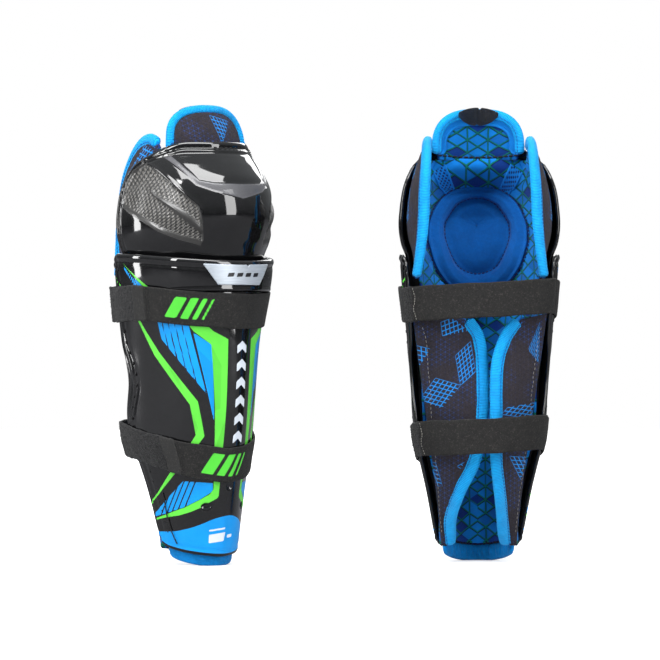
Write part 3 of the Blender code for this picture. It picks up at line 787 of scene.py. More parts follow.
def cube_print(look):
    """Blue knit printed with tumbling blocks: green lines with a navy edge, and some navy blocks."""
    s, z, _ = look.split(look.place())
    pitch = 8.9
    below = look.plus(z, 0.4)
    lines = [look.lines(s, z, degrees, pitch, 0.62, 0.25) for degrees in (0, 60, 120)]
    shades = [look.lines(s, below, degrees, pitch, 1.15, 0.3)[0] for degrees in (0, 60, 120)]
    one, two = lines[1][1], lines[2][1]
    whole_one, whole_two = look.math("FLOOR", one), look.math("FLOOR", two)
    near_one = look.math("FLOOR", look.plus(one, 0.5))
    near_two = look.math("FLOOR", look.plus(two, 0.5))
    # Each line is left out for some of its lengths.
    row = look.math("FRACT", look.times(look.plus(whole_one, whole_two), 0.5))
    alternate = look.ramp(row, 0.2, 0.3)
    kept = (
        look.times(alternate, look.ramp(look.chance(whole_one, whole_two, 3.5), 0.84, 0.86, 1.0, 0.0)),
        look.ramp(look.chance(near_one, whole_two, 7.5), 0.92, 0.94, 1.0, 0.0),
        look.ramp(look.chance(whole_one, near_two, 9.5), 0.92, 0.94, 1.0, 0.0),
    )
    chance = look.minus(look.chance(whole_one, whole_two, 1.5), look.times(alternate, 0.3))
    found = look.blend(look.ramp(chance, 0.45, 0.47), colour(0.0, 0.46, 0.80), colour(0.0, 0.38, 0.70))
    found = look.blend(look.ramp(chance, 0.72, 0.73), found, colour(0.0, 0.20, 0.50))
    found = look.blend(look.most(*(look.times(a, b) for a, b in zip(shades, kept))), found, INK)
    return look.blend(look.most(*(look.times(a[0], b) for a, b in zip(lines, kept))), found, PINE)


def lattice_print(look):
    """Charcoal knit printed with a fine blue lattice, and bolder grids in the patches."""
    s, z, _ = look.split(look.place())
    faint = [look.lines(s, z, degrees, 3.3, 0.12, 0.3)[0] for degrees in (0, 60, 120)]
    dots = look.plus(look.plus(faint[0], faint[1]), faint[2])
    patchy = look.ramp(look.noise(0.05, 1.0, where=look.place()), 0.42, 0.6)
    dotted = look.times(look.ramp(dots, 0.3, 2.4), look.ramp(patchy, 0, 1, 0.08, 0.7))
    across, up, patch = look.split(look.node("Attribute", attribute_name="grid").outputs["Vector"])
    bold = look.most(look.ramp(look.from_whole(across), 0.14, 0.05),
                     look.ramp(look.from_whole(up), 0.14, 0.05))
    strong = look.times(bold, look.ramp(patch, -0.2, 0.2))
    fleck = look.ramp(look.noise(0.8, 4.0, 0.7), 0.3, 0.7)
    ground = look.blend(fleck, colour(0.13, 0.12, 0.14), colour(0.21, 0.19, 0.21))
    found = look.blend(look.times(dotted, 0.8), ground, colour(0.06, 0.34, 0.70))
    return look.blend(strong, found, colour(0.10, 0.55, 0.90))


def liner_look():
    look = Look("block_knit")
    knit_finish(look, cube_print(look))
    return look.material


def wing_look():
    """Charcoal print outside and blue blocks inside."""
    look = Look("lattice_knit")
    within = look.ramp(look.number("side"), 0.3, 0.6)
    lined = look.blend(look.inside("channel", 0.3), cube_print(look), colour(0.0, 0.45, 0.78))
    knit_finish(look, look.blend(within, lattice_print(look), lined), 0.5, 0.1)
    return look.material


def binding_look():
    """Ribbed azure tape."""
    look = Look("ribbed_tape", Sheen_Weight=0.08, Sheen_Roughness=0.35, Specular_IOR_Level=0.25)
    length, around, _ = look.split(look.place())
    rib = look.wave(length, 1.15)
    slow = look.noise(0.12, 3.0)
    dark = look.blend(look.ramp(slow, 0.3, 0.7), colour(0.0, 0.60, 0.88), AZURE)
    # The tape is darker along its stitch line.
    stitch_line_dark = look.ramp(look.math("ABSOLUTE", look.minus(around, 0.5)), 0.14, 0.05, 0.0, 0.5)
    shade = look.most(look.ramp(rib, -1.0, 0.2, 0.7, 0.0), stitch_line_dark)
    look.set("Base Color", look.blend(shade, dark, colour(0.0, 0.42, 0.70)))
    look.set("Roughness", look.ramp(look.noise(3.0), 0.3, 0.7, 0.6, 0.8))
    soft = look.bump(slow, 0.5, 0.5)
    look.set("Normal", look.bump(rib, 0.2, 1.0, soft))
    return look.material


def strap_look(name="elastic_web", lift=0.0):
    """Black knitted elastic with a green printed mark. lift lightens it."""
    look = Look(name, Sheen_Weight=0.03, Sheen_Roughness=0.5, Specular_IOR_Level=0.2)
    s, z, _ = look.split(look.place())
    rib = look.wave(z, 0.8)
    cross = look.wave(s, 1.1)
    cloth = look.times(rib, cross)
    lint = look.ramp(look.noise(0.75, 6.0, 0.85), 0.54, 0.74)
    uneven = look.noise(0.3, 5.0, 0.75)
    deep = look.blend(look.ramp(uneven, 0.35, 0.65), colour(0.06 + lift, 0.06 + lift, 0.065 + lift),
                      colour(0.115, 0.113, 0.11))
    base = look.blend(look.ramp(cloth, -1, 1, 0.0, 0.5), deep,
                      colour(0.17 + lift, 0.17 + lift, 0.17 + lift))
    base = look.blend(look.times(lint, 0.5), base, colour(0.42, 0.40, 0.38))
    inked = look.times(look.inside("mark", 0.2), look.ramp(look.noise(1.2, 3.0), 0.22, 0.36, 0.75, 1.0))
    look.set("Base Color", look.blend(inked, base, colour(0.32, 0.78, 0.24)))
    look.set("Roughness", look.ramp(lint, 0, 1, 0.82, 0.95))
    soft = look.bump(look.noise(0.15, 3.0), 0.6, 0.5)
    look.set("Normal", look.bump(cloth, 0.14, 0.8, soft))
    return look.material


def pile_look():
    """The fuzzy loop side of a hook-and-loop fastener."""
    look = Look("loop_fuzz", Sheen_Weight=0.08, Sheen_Roughness=0.6, Specular_IOR_Level=0.15)
    curls = look.node("TexVoronoi", {"Vector": look.space(), "Scale": 1.3}).outputs["Distance"]
    fluff = look.noise(1.0, 6.0, 0.85)
    look.set("Base Color",
            look.blend(look.ramp(fluff, 0.35, 0.75), colour(0.045, 0.045, 0.05), colour(0.23, 0.23, 0.235)))
    look.set("Roughness", look.ramp(fluff, 0.3, 0.7, 0.9, 1.0))
    look.set("Normal", look.bump(look.minus(fluff, curls), 0.55, 1.0))
    return look.material


def foam_look():
    look = Look("closed_cell_foam")
    cells = look.node("TexVoronoi", {"Vector": look.space(), "Scale": 0.9}).outputs["Distance"]
    look.set("Base Color",
             look.blend(look.ramp(cells, 0.0, 0.8), colour(0.12, 0.12, 0.13), colour(0.07, 0.07, 0.08)))
    look.set("Roughness", look.ramp(cells, 0, 1, 0.85, 0.98))
    look.set("Normal", look.bump(cells, 0.25, 0.8))
    return look.material


def badge_look():
    """Satin silver plate with dark dashes."""
    look = Look("satin_plate", Metallic=0.35)
    s, z, _ = look.split(look.place())
    brushed = look.noise(1.0, 4.0, 0.6,
                         look.node("CombineXYZ", {0: look.times(s, 0.08), 1: z, 2: 0.0}).outputs[0])
    silver = look.blend(look.ramp(brushed, 0.3, 0.7), colour(0.62, 0.65, 0.69), SILVER)
    look.set("Base Color", look.blend(look.inside("dash", 0.15), silver, colour(0.12, 0.12, 0.13)))
    look.set("Roughness", look.ramp(brushed, 0.2, 0.8, 0.32, 0.46))
    look.set("Normal", look.bump(brushed, 0.03, 0.5))
    return look.material


def tag_look():
    look = Look("satin_tag", Sheen_Weight=0.05, Specular_IOR_Level=0.3)
    fluff = look.noise(0.9, 4.0)
    weave = look.weave(0.5, 0.5)
    look.set("Base Color",
             look.blend(look.ramp(fluff, 0.3, 0.7), colour(0.11, 0.11, 0.115), colour(0.2, 0.2, 0.205)))
    look.set("Roughness", look.ramp(fluff, 0.3, 0.7, 0.38, 0.55))
    look.set("Normal", look.bump(weave, 0.08, 0.7, look.bump(look.noise(0.2), 1.0, 0.6)))
    return look.material


def mesh_tape_look():
    """Blue tape with rows of small holes, which are painted dark navy as painted shade."""
    look = Look("open_tape", Sheen_Weight=0.05, Specular_IOR_Level=0.2)
    s, z, _ = look.split(look.place())
    one = look.wave(s, 2.6)
    two = look.math("SINE", look.times(look.plus(z, look.times(s, 0.5)), 2 * math.pi / 3.0))
    within = look.ramp(look.math("ABSOLUTE", s), 3.9, 3.5)
    hole = look.times(look.ramp(look.times(one, two), 0.15, 0.5), within)
    # Painted shade: the holes are painted dark navy, for the shade seen through them.
    look.set("Base Color", look.blend(hole, colour(0.0, 0.42, 0.75), colour(0.0, 0.10, 0.26)))
    look.set("Roughness", look.ramp(look.noise(2.0), 0.3, 0.7, 0.75, 0.9))
    look.set("Normal", look.bump(look.minus(1.0, hole), 0.5, 0.9))
    return look.material


def thread_look(name, hue):
    look = Look(name, Sheen_Weight=0.05, Specular_IOR_Level=0.3)
    twist = look.noise(3.5, 3.0)
    look.set("Base Color", look.blend(look.ramp(twist, 0.3, 0.7), dimmed(hue, 0.7), hue))
    look.set("Roughness", look.ramp(twist, 0.3, 0.7, 0.5, 0.75))
    look.set("Normal", look.bump(twist, 0.15, 0.8))
    return look.material


LOOKS = {
    "shell": shell_look(), "cap": cap_look(), "liner": liner_look(), "wing": wing_look(),
    "pad": plain_knit("pad_knit", colour(0.0, 0.36, 0.68)),
    "hem": plain_knit("hem_knit", colour(0.0, 0.50, 0.80)),
    "binding": binding_look(), "strap": strap_look(), "tab": strap_look("hook_web", 0.06),
    "pile": pile_look(), "foam": foam_look(),
    "badge": badge_look(), "tag": tag_look(), "mesh_tape": mesh_tape_look(),
    "black_thread": thread_look("black_thread", colour(0.06, 0.06, 0.07)),
    "navy_thread": thread_look("navy_thread", colour(0.0, 0.13, 0.36)),
    "azure_thread": thread_look("azure_thread", colour(0.0, 0.36, 0.68)),
    "grey_thread": thread_look("grey_thread", colour(0.55, 0.54, 0.52)),
}


# --- Placing pieces ---


def in_world(points, side):
    """Points of one guard, in millimetres, stood where that guard stands."""
    hand, offset, turn = GUARDS[side]
    c, s = math.cos(math.radians(turn)), math.sin(math.radians(turn))
    x, y = points[:, 0] * hand, points[:, 1]
    return np.stack([x * c - y * s + offset, x * s + y * c, points[:, 2]], -1)


def place(name, shape, look, body, nodes=(), slot=None, fill=None, cloth=None, tail=None):
    """Makes a piece for both guards, or for the right guard alone when it has a tail, riding on each one's
    body.
    """
    points, faces, values = shape
    for side, (hand, _, _) in GUARDS.items():
        if tail is not None and side == "left":
            continue
        world = in_world(points, side)
        mesh = bpy.data.meshes.new(f"{side}_{name}")
        mesh.from_pydata((world * MM).tolist(), [], faces if hand > 0 else [f[::-1] for f in faces])
        for key, value in values.items():
            value = np.asarray(value, float).reshape(len(points), -1)
            kind = "FLOAT_VECTOR" if value.shape[1] == 3 else "FLOAT"
            field = mesh.attributes.new(key, kind, "POINT")
            field.data.foreach_set("vector" if kind == "FLOAT_VECTOR" else "value", value.reshape(-1))
        mesh.shade_smooth()
        mesh.materials.append(LOOKS[look])
        obj = bpy.data.objects.new(f"{side}_{name}", mesh)
        bpy.context.scene.collection.objects.link(obj)
        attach(obj, f"{side}_{body}")
        if nodes:
            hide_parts(*(f"{side}_{n}" for n in nodes))
        if cloth:
            flat, held, rests = cloth
            [f"{side}_{r}" for r in rests]
        if tail is not None:
            path = in_world(tail, side) * MM


# --- Shin shell ---

MIRROR_LINE = 4.0
GREEN_SHAPES = (
    ((-83.5, 187.7), (-81, 187.4), (-75, 178.8), (-60.6, 159.5), (-29.3, 123.3), (-22.6, 97.4),
     (-28.7, 88.2),
     (-45, 65.4), (-54.3, 53.3), (-61.8, 46), (-62.7, 47), (-54.9, 55), (-46.3, 69.6), (-34.3, 88.9),
     (-29.2, 98.3), (-35.3, 121.1), (-64.9, 157.7), (-78.3, 180.1)),
    ((-46, 190), (-36, 190), (-19.4, 175.6), (-8.1, 169.8), (-7.8, 116.6), (-8, 87.5), (-7.2, 52.6),
     (-8.5, 50.7),
     (-13.3, 48.1), (-18.8, 44.4), (-27.1, 40.7), (-35.8, 38), (-45.1, 36.6), (-56.4, 34.1), (-57, 35.1),
     (-46.9, 38.4), (-31.9, 44), (-20.8, 50), (-14, 54.1), (-11.6, 57.8), (-12, 62.3), (-14.2, 87.5),
     (-16.2, 116.6), (-19.6, 154.2), (-20.9, 165.8), (-34.3, 175.6)),
    ((-101.5, 226.9), (-67.3, 203.8), (-73.6, 205), (-99.9, 225.2)),
    ((-114.5, 216.3), (-103.5, 209.3), (-104.5, 208.6), (-114.8, 215.2)),
)
BLUE_SOLIDS = (
    ((-35.2, 177), (-35.0, 175.0), (-20.9, 165.8), (-19.6, 154.2), (-16.2, 107.6)),
    ((-35.2, 63.8), (-12.7, 62.3), (-12.1, 57.1), (-14.1, 54.8), (-20.9, 50.3), (-31.9, 44.4), (-47, 39.2),
     (-57.6, 36.6), (-58.2, 38.4), (-53.4, 42.5), (-46.8, 50), (-40.5, 57.4)),
    ((-100.8, 224.7), (-74.8, 205.8), (-87.3, 208.3), (-99.2, 221.7)),
)
BLUE_CUTS = (
    ((-33.9, 65), (-41.6, 40)), ((-29.8, 65), (-37.2, 41)), ((-25.4, 65), (-32.0, 43)),
    ((-38.4, 62), (-46.0, 38)),
    ((-44.4, 55), (-51.0, 37)), ((-98, 224), (-85.5, 206)), ((-92.5, 219), (-81, 205)),
)
LOWER_ZONE = ((-60, 25.0), (-54, 25.4), (-37.7, 26.1), (-25.9, 28.7), (-17.4, 31.7), (-9.7, 35.1),
              (-1.5, 37.3), (4, 38))
# Facets of the shin that carry painted shade, as (s, z) outlines.
FACET_SHADE_SHAPES = (
    ((-20.9, 165.8), (-12.5, 150), (-12.2, 118), (-16.2, 116.6), (-19.6, 154.2)),
    ((-31, 163), (-19.9, 152), (-16.4, 109.4), (-22, 132)),
    ((-56, 153), (-45, 141), (-28, 104), (-29, 98), (-35.3, 121.1)),
    ((-8.0, 110), (-8.0, 60), (-12.5, 62), (-14, 88)),
)
VENTS = ((-15.5, 45.0, 4.4, 2.6), (0.8, 60.2, 3.0, 3.4), (23.5, 45.0, 4.4, 2.6))


def stripes():
    """Five slanting stripes with stepped lower ends."""
    tops = (-61, -56.8, -51.9, -47.0, -41.8, -36)
    found = []
    for left, right in zip(tops, tops[1:]):
        corners = []
        for top in (left, right - 1.0):
            s = (top + 21.2) / 0.6723
            corners.append((top - 4.6, 192.0))
            corners.append((s, 102.9 - 1.13 * s))
        found.append((corners[0], corners[2], corners[3], corners[1]))
    return tuple(found)


def chevrons():
    """A column of generic chevrons up the middle of the shin."""
    found = []
    for k in range(6):
        z = 92.0 + 13.4 * k
        found.append(((-0.6, z), (4.4, z + 3.6), (9.4, z), (9.4, z + 6.0), (4.4, z + 9.6), (-0.6, z + 6.0)))
    return tuple(found)


def shin_graphics(s, z):
    """Signed distances of the printed shapes, of the vents and of the facets that carry painted shade. They
    mirror about the column of chevrons.
    """
    m = np.where(s > MIRROR_LINE, 2 * MIRROR_LINE - s, s)
    blue = any_of(m, z, BLUE_SOLIDS + stripes())
    for line in BLUE_CUTS:
        blue = np.minimum(blue, to_line_distance(m, z, line) - 0.5)
    zone = along(LOWER_ZONE, m) - z
    blue = np.maximum(blue, np.minimum(zone, 30.0))
    label = (
        ((-11.6, 23.5), (1.4, 25.4), (0.2, 18.7), (-11.4, 17.2)),
        ((-11.8, 27.2), (0.8, 29.0), (1.0, 27.6), (-11.7, 25.9)),
        ((3.6, 23.4), (9.2, 24.0), (8.8, 21.6), (3.2, 21.0)),
    )
    white = any_of(s, z, chevrons() + label)
    vent = np.max([1 - np.hypot((s - a) / c, (z - b) / d) for a, b, c, d in VENTS], axis=0) * 2.6
    facet_shade = any_of(m, z, FACET_SHADE_SHAPES)
    return {"green": any_of(m, z, GREEN_SHAPES), "blue": blue, "white": white, "vent": vent, "facet_shade": facet_shade}


def shell_grid(columns, rows):
    place_at, row = mesh_grid(columns, rows)
    low, high = shell_bottom(place_at), shell_top(place_at)
    lip = 206.0
    # Closely spaced rows at the collar's lip.
    below = low + (lip - 1.6 - low) * np.clip(row / 0.84, 0, 1)
    step = 3.2 * np.clip((row - 0.84) / 0.04, 0, 1)
    above = (high - lip - 1.6) * np.clip((row - 0.88) / 0.12, 0, 1)
    return place_at, below + step + above


def build_shell():
    at, z = shell_grid(215, 205)
    base = shin_point(at, z)
    s = distance_round(base)
    edge = np.maximum(s[-1:], 1) - np.abs(s)
    graphics = shin_graphics(s, z)
    graphics["blue"] = np.minimum(graphics["blue"], z - shell_bottom(at) - 1.2)
    sides = smooth_step(np.abs(at), 0.45, 0.6)
    relief = -0.55 * (1 - smooth_step(edge, 10.0, 13.5)) * sides + 0.75 * hill(edge, 6.6, 1.7) * sides
    relief += 0.55 * hill(edge, 1.2, 1.2) * sides
    top_gap = shell_top(at) - z
    relief += 0.55 * hill(top_gap, 1.6, 1.5) - 0.35 * hill(top_gap, 5.0, 1.4)
    relief += 0.35 * hill(z, 207.2, 1.0) * (1 - smooth_step(np.abs(at), 0.37, 0.56))
    relief -= 1.3 * smooth_step(graphics["vent"], -0.2, 1.2)
    relief -= 0.35 * hill(z - shell_bottom(at), 3.2, 1.2)
    # A shallow moulded channel on each side of the centre, and the raised centre band.
    middle = np.abs(s - MIRROR_LINE)
    relief -= 0.4 * smooth_step(middle, 11.5, 13.5) * (1 - smooth_step(z, 168, 176)) * smooth_step(z, 45,
                                                                                                   60) * (
        1 - smooth_step(middle, 26, 44))
    outer = moved(shin_point, at, z, relief)
    inner = moved(shin_point, at, z, -SHELL_WALL + 0 * z)
    shape = slab(outer, inner, dict(graphics, st=stack(s, z, 0 * z)), rim=0.5)
    place("shin_shell_moulding", shape, "shell", "shin", ["shin_shell"], "black_plastic")


def edge_path(z, inset, lift=0.0, side=-1):
    """Points on the shin shell at a distance in from its edge."""
    girth = np.array([shell_half_girth(h) for h in z])
    return moved(plain_shin, side * (1 - inset / girth), z, lift + 0 * z)


def shell_half_girth(z):
    at = np.linspace(0, 1, 60)
    points = plain_shin(at, z + 0 * at)
    return float(np.linalg.norm(np.diff(points, axis=0), axis=-1).sum())


def build_shell_stitches():
    """Thread ends in the row of holes beside each flange."""
    parts = []
    for side in (-1, 1):
        for low, high in ((26, 78), (102, 184), (212, 222)):
            path = edge_path(np.linspace(low, high, 40), 12.2, -0.25, side)
            parts.append(stitches(path, 8.3, 2.6, 0.62, wander=0.5))
    place("flange_stitches", joined(parts), "black_thread", "shin", (), "black_fabric")


def build_thread_tail():
    """The loose end of the flange's thread, on the right guard only."""
    f = np.linspace(0, 1, 60)
    z = 55.0 - 38.5 * f
    at = -0.735 + 0.07 * f - 0.03 * np.sin(math.pi * f) + 0.008 * np.sin(7 * f)
    path = moved(plain_shin, at, z, 0.75 + 0.5 * np.sin(math.pi * f))
    heading = unit(np.gradient(path, axis=0))
    side = unit(np.cross(heading, np.array((0.1, 1.0, 0.1))))
    other = np.cross(heading, side)
    angle = np.arange(8) * math.pi / 4
    ring = np.cos(angle)[None, :, None] * side[:, None] + np.sin(angle)[None, :, None] * other[:, None]
    points = (path[:, None] + ring * 0.45).reshape(-1, 3)
    place("thread_tail", (points, tube_faces(60, 8), {}), "black_thread", "shin", tail=path)


def build_badge():
    across, up = mesh_grid(90, 24, 0.0, 1.0)
    notch = 1.7 * hill(across, 0.60, 0.014) * smooth_step(up, 0.6, 1.0)
    half = 18.0 + 9.0 * up
    z = 210.5 + 15.0 * up - notch - 0.8 * (1 - np.abs(2 * across - 1)) * up
    turn = (2 * across - 1) * np.arcsin(half / along(SHIN_WIDTH, 225.5))
    reach = np.radians(90.5 + 1.4 * (along(SHIN_EDGE, z) - along(SHIN_WIDEST, z)))
    outer = moved(shin_point, turn / reach, z, 1.25 + 0 * z)
    inner = moved(shin_point, turn / reach, z, 0.1 + 0 * z)
    s = distance_round(outer)
    marks = [((a, 216.0), (a + 5.2, 216.3), (a + 6.4, 219.3), (a + 1.2, 219.0)) for a in (-12.5, -4.7, 3.1,
                                                                                          10.9)]
    shape = slab(outer, inner, {"st": stack(s, z, 0 * z), "dash": any_of(s, z, marks)}, rim=0.35)
    place("collar_badge_plate", shape, "badge", "shin", ["collar_badge"], "badge_silver")


def build_liner():
    """The printed lining of the shin, which is quilted in two shallow grooves; here it swells as one cushion
    between its edges.
    """

    def point(u, v):
        at = (2 * u - 1) * 0.86
        start = 12.5 + 10.0 * at**2
        depth = 9.4 - 2.0 * smooth_step(np.abs(at), 0.7, 0.86)
        return moved(plain_shin, at, start + (192.0 - start) * v, -depth)

    u, v, outer, inner = cushion(point, 2.5, (60, 50), (190, 170), 1.0, slim=0.2, wrinkle=0.1,
                                 pressure=LINING_PRESSURE)
    shape = slab(outer, inner, {"st": stack(distance_round(outer), outer[..., 2], 0 * u)})
    place("shin_lining", shape, "liner", "shin", ["shin_liner"], "blue_knit", fill=0.3)


def build_hem():
    """The rolled lower edge of the lining, gathered by its stitches."""

    def point(u, v):
        at = (2 * u - 1) * 14 / 16
        return moved(plain_shin, at, 0.6 + 10.0 * at**2 + 8.6 * v, -3.7 + 0 * u)

    u, v, outer, inner = cushion(point, 4.5, (70, 8), (240, 20), 1.0, slim=0.5, pressure=HEM_PRESSURE)
    girth = distance_round(outer)
    gather = 0.5 * np.sin(girth * 2 * math.pi / 7.0 + 2.5 * v + np.sin(girth / 9)) * np.sin(math.pi * v)
    ruck = 0.55 * hill(v, 0.6, 0.4) * np.sin(girth * 2 * math.pi / 3.1 + 2 * v + np.sin(girth / 5))
    normal = unit(outer - inner)
    outer = outer + normal * (0.4 * gather)[..., None]
    inner = inner - normal * (gather + 0.5 * ruck)[..., None]
    shape = slab(outer, inner, {"st": stack(girth, outer[..., 2], 0 * u)})
    shape[0][:, 2] = np.maximum(shape[0][:, 2], 0.05)
    place("ankle_hem_roll", shape, "hem", "shin", ["ankle_hem"], "blue_knit", fill=0.5)
    line = moved(plain_shin, np.linspace(-0.8, 0.8, 120), 10.6 + 10.0 * np.linspace(-0.8, 0.8, 120) ** 2,
                 np.full(120, -11.9))
    place("hem_stitches", stitches(line, 3.1, 2.0, 0.3), "navy_thread", "shin", (), "blue_knit")


# --- Knee cap ---

FIN = (
    (-97, 289.3), (-83.4, 296.3), (-65.8, 301.2), (-52.8, 284.3), (-35.5, 268.4), (-34.3, 263.5),
    (-28.7, 243.6),
    (-29.9, 239.1), (-47.7, 243.6), (-65.6, 249.6), (-97.6, 264.5), (-103.5, 268.4), (-101.4, 281.3),
)
FIN_CREASE = ((-72.5, 280.4), (-69.2, 276.4), (-55.3, 267.4), (-41.1, 257.5), (-31.9, 250.5))
FIN_LOW = ((-28.7, 239.1), (-47.7, 243.6), (-65.6, 249.6), (-97.6, 264.5), (-103.5, 268.4))
FIN_BROW = ((-66, 302), (-58, 292), (-47, 279), (-34.5, 266))
CHEVRON_OUT = ((-56, 316), (-50.3, 305.2), (-44.2, 297.2), (-35.1, 284.3), (-23.4, 279.9), (0, 274.4))
CHEVRON_IN = ((-50, 316), (-44.1, 305.2), (-39.2, 297.2), (-32.2, 287.8), (-21.1, 285.8), (0, 285.3))


def cap_top(share):
    return CAP_TOP - 20.0 * (np.maximum(0.0, np.abs(share) - 0.45) / 0.55) ** 2


def cap_grid(columns, rows):
    at, v = mesh_grid(columns, rows, -CAP_EDGE, CAP_EDGE)
    top = cap_top(at)
    return at, CAP_BOTTOM + (top - CAP_BOTTOM) * v, top


def build_cap():
    at, z, top = cap_grid(310, 122)
    base = cap_point(at, z)
    s = distance_round(base)
    m = -np.abs(s)
    edge = np.maximum(s[-1:], 1) - np.abs(s)
    gap = top - z
    rim = -3.0 * np.log(np.exp(-edge / 3.0) + np.exp(-gap * 0.93 / 3.0))
    fin = to_shape_distance(m, z, FIN)
    low = to_shape_distance(m, z, CHEVRON_OUT + ((0.01, 330), (-56, 330)))
    high = to_shape_distance(m, z, CHEVRON_IN + ((0.01, 330), (-50, 330)))
    # The outlines close on the centre line, where the two halves meet.
    centre = np.abs(m) < 12
    low = np.where(centre, z - np.interp(m, (-23.4, 0), (279.9, 274.4)), low)
    high = np.where(centre, z - np.interp(m, (-21.1, 0), (285.8, 285.3)), high)
    frost = np.minimum(np.minimum(low, -high), rim - 7.5)
    panel = np.minimum(fin, rim - 5.5)
    relief = 0.35 * hill(rim, 1.3, 1.0) - 0.65 * hill(rim, 3.7, 0.8) + 0.3 * hill(rim, 5.6,
            0.9) - 0.35 * hill(rim, 7.4, 0.8)
    relief -= 1.5 * smooth_step(panel, -0.4, 1.8)
    crease = to_line_distance(m, z, FIN_CREASE)
    wide = 1.2 + 1.6 * smooth_step(m, -72, -50) * (1 - 0.5 * smooth_step(m, -45, -32))
    relief += 2.0 * smooth_step(panel, 0, 1.2) * np.maximum(0, 1 - crease / (1.5 * wide))
    band = to_line_distance(m, z, FIN_LOW)
    relief += 1.1 * smooth_step(panel, 0, 1.2) * (1 - smooth_step(band, 2.4, 3.8))
    relief += 0.5 * hill(to_line_distance(m, z, FIN_BROW), 0.6, 1.3)
    twill = np.minimum(np.minimum(panel - 1.2, crease - wide), band - 3.4)
    relief += smooth_step(twill, 0,
            0.8) * 0.18 * np.sin(m * 2 * math.pi / 3.8) * np.sin((z * 0.79 - m * 0.62) * 2 * math.pi / 2.2)
    relief -= 0.45 * smooth_step(low, -0.3, 0.5) + 0.5 * smooth_step(high, -0.5, 0.9)
    outer = moved(cap_point, at, z, relief)
    inner = moved(cap_point, at, z, -SHELL_WALL + 0 * z)
    data = {"st": stack(m, z, 0 * z), "fin": panel, "frost": frost, "twill": twill}
    place("knee_cap_moulding", slab(outer, inner, data), "cap", "knee", ["knee_cap"], "black_plastic")
    shares = np.concatenate([np.full(30, -CAP_EDGE), np.linspace(-CAP_EDGE, CAP_EDGE, 160),
                             np.full(30, CAP_EDGE)])
    inset = 1 - 3.9 / s[-1].max()
    level = cap_top(shares)[30:190] - 4.0
    rise = np.linspace(222, level[0], 30)
    heights = np.concatenate([rise, level, rise[::-1]])
    path = moved(cap_point, shares * inset, heights, np.full(220, -0.35))
    place("cap_rim_stitches", stitches(path, 4.6, 2.6, 0.42), "black_thread", "knee", (), "black_fabric")


def lining_point(at, v):
    """The front face of the knee's lining. Its top comes back to the line that the thigh flap folds on."""
    level = 200.0 + (106.8 - 0.8 * smooth_step(np.abs(at), 0.35, 0.7)) * v
    depth = 9.5 - 3.2 * smooth_step(np.abs(at), 0.66, 0.82)
    found = moved(cap_point, at, level, -depth)
    seam = stack(found[..., 0], np.maximum(-35.0, found[..., 1] - 8.0), level)
    return found + (seam - found) * smooth_step(v, 0.84, 0.97)[..., None]


def build_knee_liner():
    """The printed lining of the knee, which reaches out to the wings."""

    def point(u, v):
        return lining_point((2 * u - 1) * 0.83, v)

    u, v, outer, inner = cushion(point, 2.5, (60, 38), (200, 130), 0.8, slim=0.2, wrinkle=0.12,
                                 pressure=LINING_PRESSURE)
    shape = slab(outer, inner, {"st": stack(distance_round(outer), outer[..., 2], 0 * u)})
    place("knee_lining", shape, "liner", "knee", ["knee_liner"], "blue_knit", fill=0.3)


def build_knee_pad():
    """The D-shaped knee pad round its round middle, with the stitched groove between them."""

    def ring_at(u, v):
        angle = -2 * math.pi * u
        c, s = np.cos(angle), np.sin(angle)
        rise = np.where(s > 0, 45.0, 50.0)
        x = (27.4 + (38.5 - 27.4) * v) * c
        return pad_point(x, (33.7 + (rise - 33.7) * v) * s)

    def disc_at(u, v):
        angle = -2 * math.pi * u
        return pad_point(25.8 * (0.02 + 0.98 * v) * np.cos(angle), 31.9 * (0.02 + 0.98 * v) * np.sin(angle))

    def ring_thin(v):
        return 0.42 + 0.58 * smooth_step(v, 0.0, 0.4) - 0.6 * smooth_step(v, 0.72, 1.0)

    def disc_thin(v):
        return 1.0 - 0.5 * smooth_step(v, 0.76, 1.0)

    u, v, outer, inner = cushion(ring_at, 7.2, (56, 9), (220, 34), 1.6, slim=0.3, closed=True,
                                 thin=ring_thin)
    st = stack(inner[..., 0], inner[..., 2], 0 * u)
    place("knee_pad_ring", slab(outer, inner, {"st": st}, closed=True), "pad", "knee", ["knee_pad"],
          "blue_knit", fill=0.7)
    u, v, outer, inner = cushion(disc_at, 6.0, (48, 12), (160, 48), 1.5, slim=0.4, closed=True,
                                 thin=disc_thin)
    st = stack(inner[..., 0], inner[..., 2], 0 * u)
    place("knee_pad_middle", slab(outer, inner, {"st": st}, closed=True), "pad", "knee",
          ["knee_pad_centre"],
          "blue_knit", fill=0.7)
    turn = np.linspace(0, 2 * math.pi, 200)
    c, s = np.cos(turn), np.sin(turn)
    seam = pad_point(26.6 * c, 32.8 * s) * np.array((0.95, 1, 1)) + np.array((0, 2.6, 0))
    rise = np.where(s > 0, 45.6, 50.6)
    border = pad_point(39.2 * c, rise * s) + np.array((0, 0.9, 0))
    parts = [stitches(seam, 3.1, 2.4, 0.55), stitches(border, 3.2, 2.3, 0.5)]
    place("knee_pad_stitches", joined(parts), "navy_thread", "knee", (), "blue_knit")


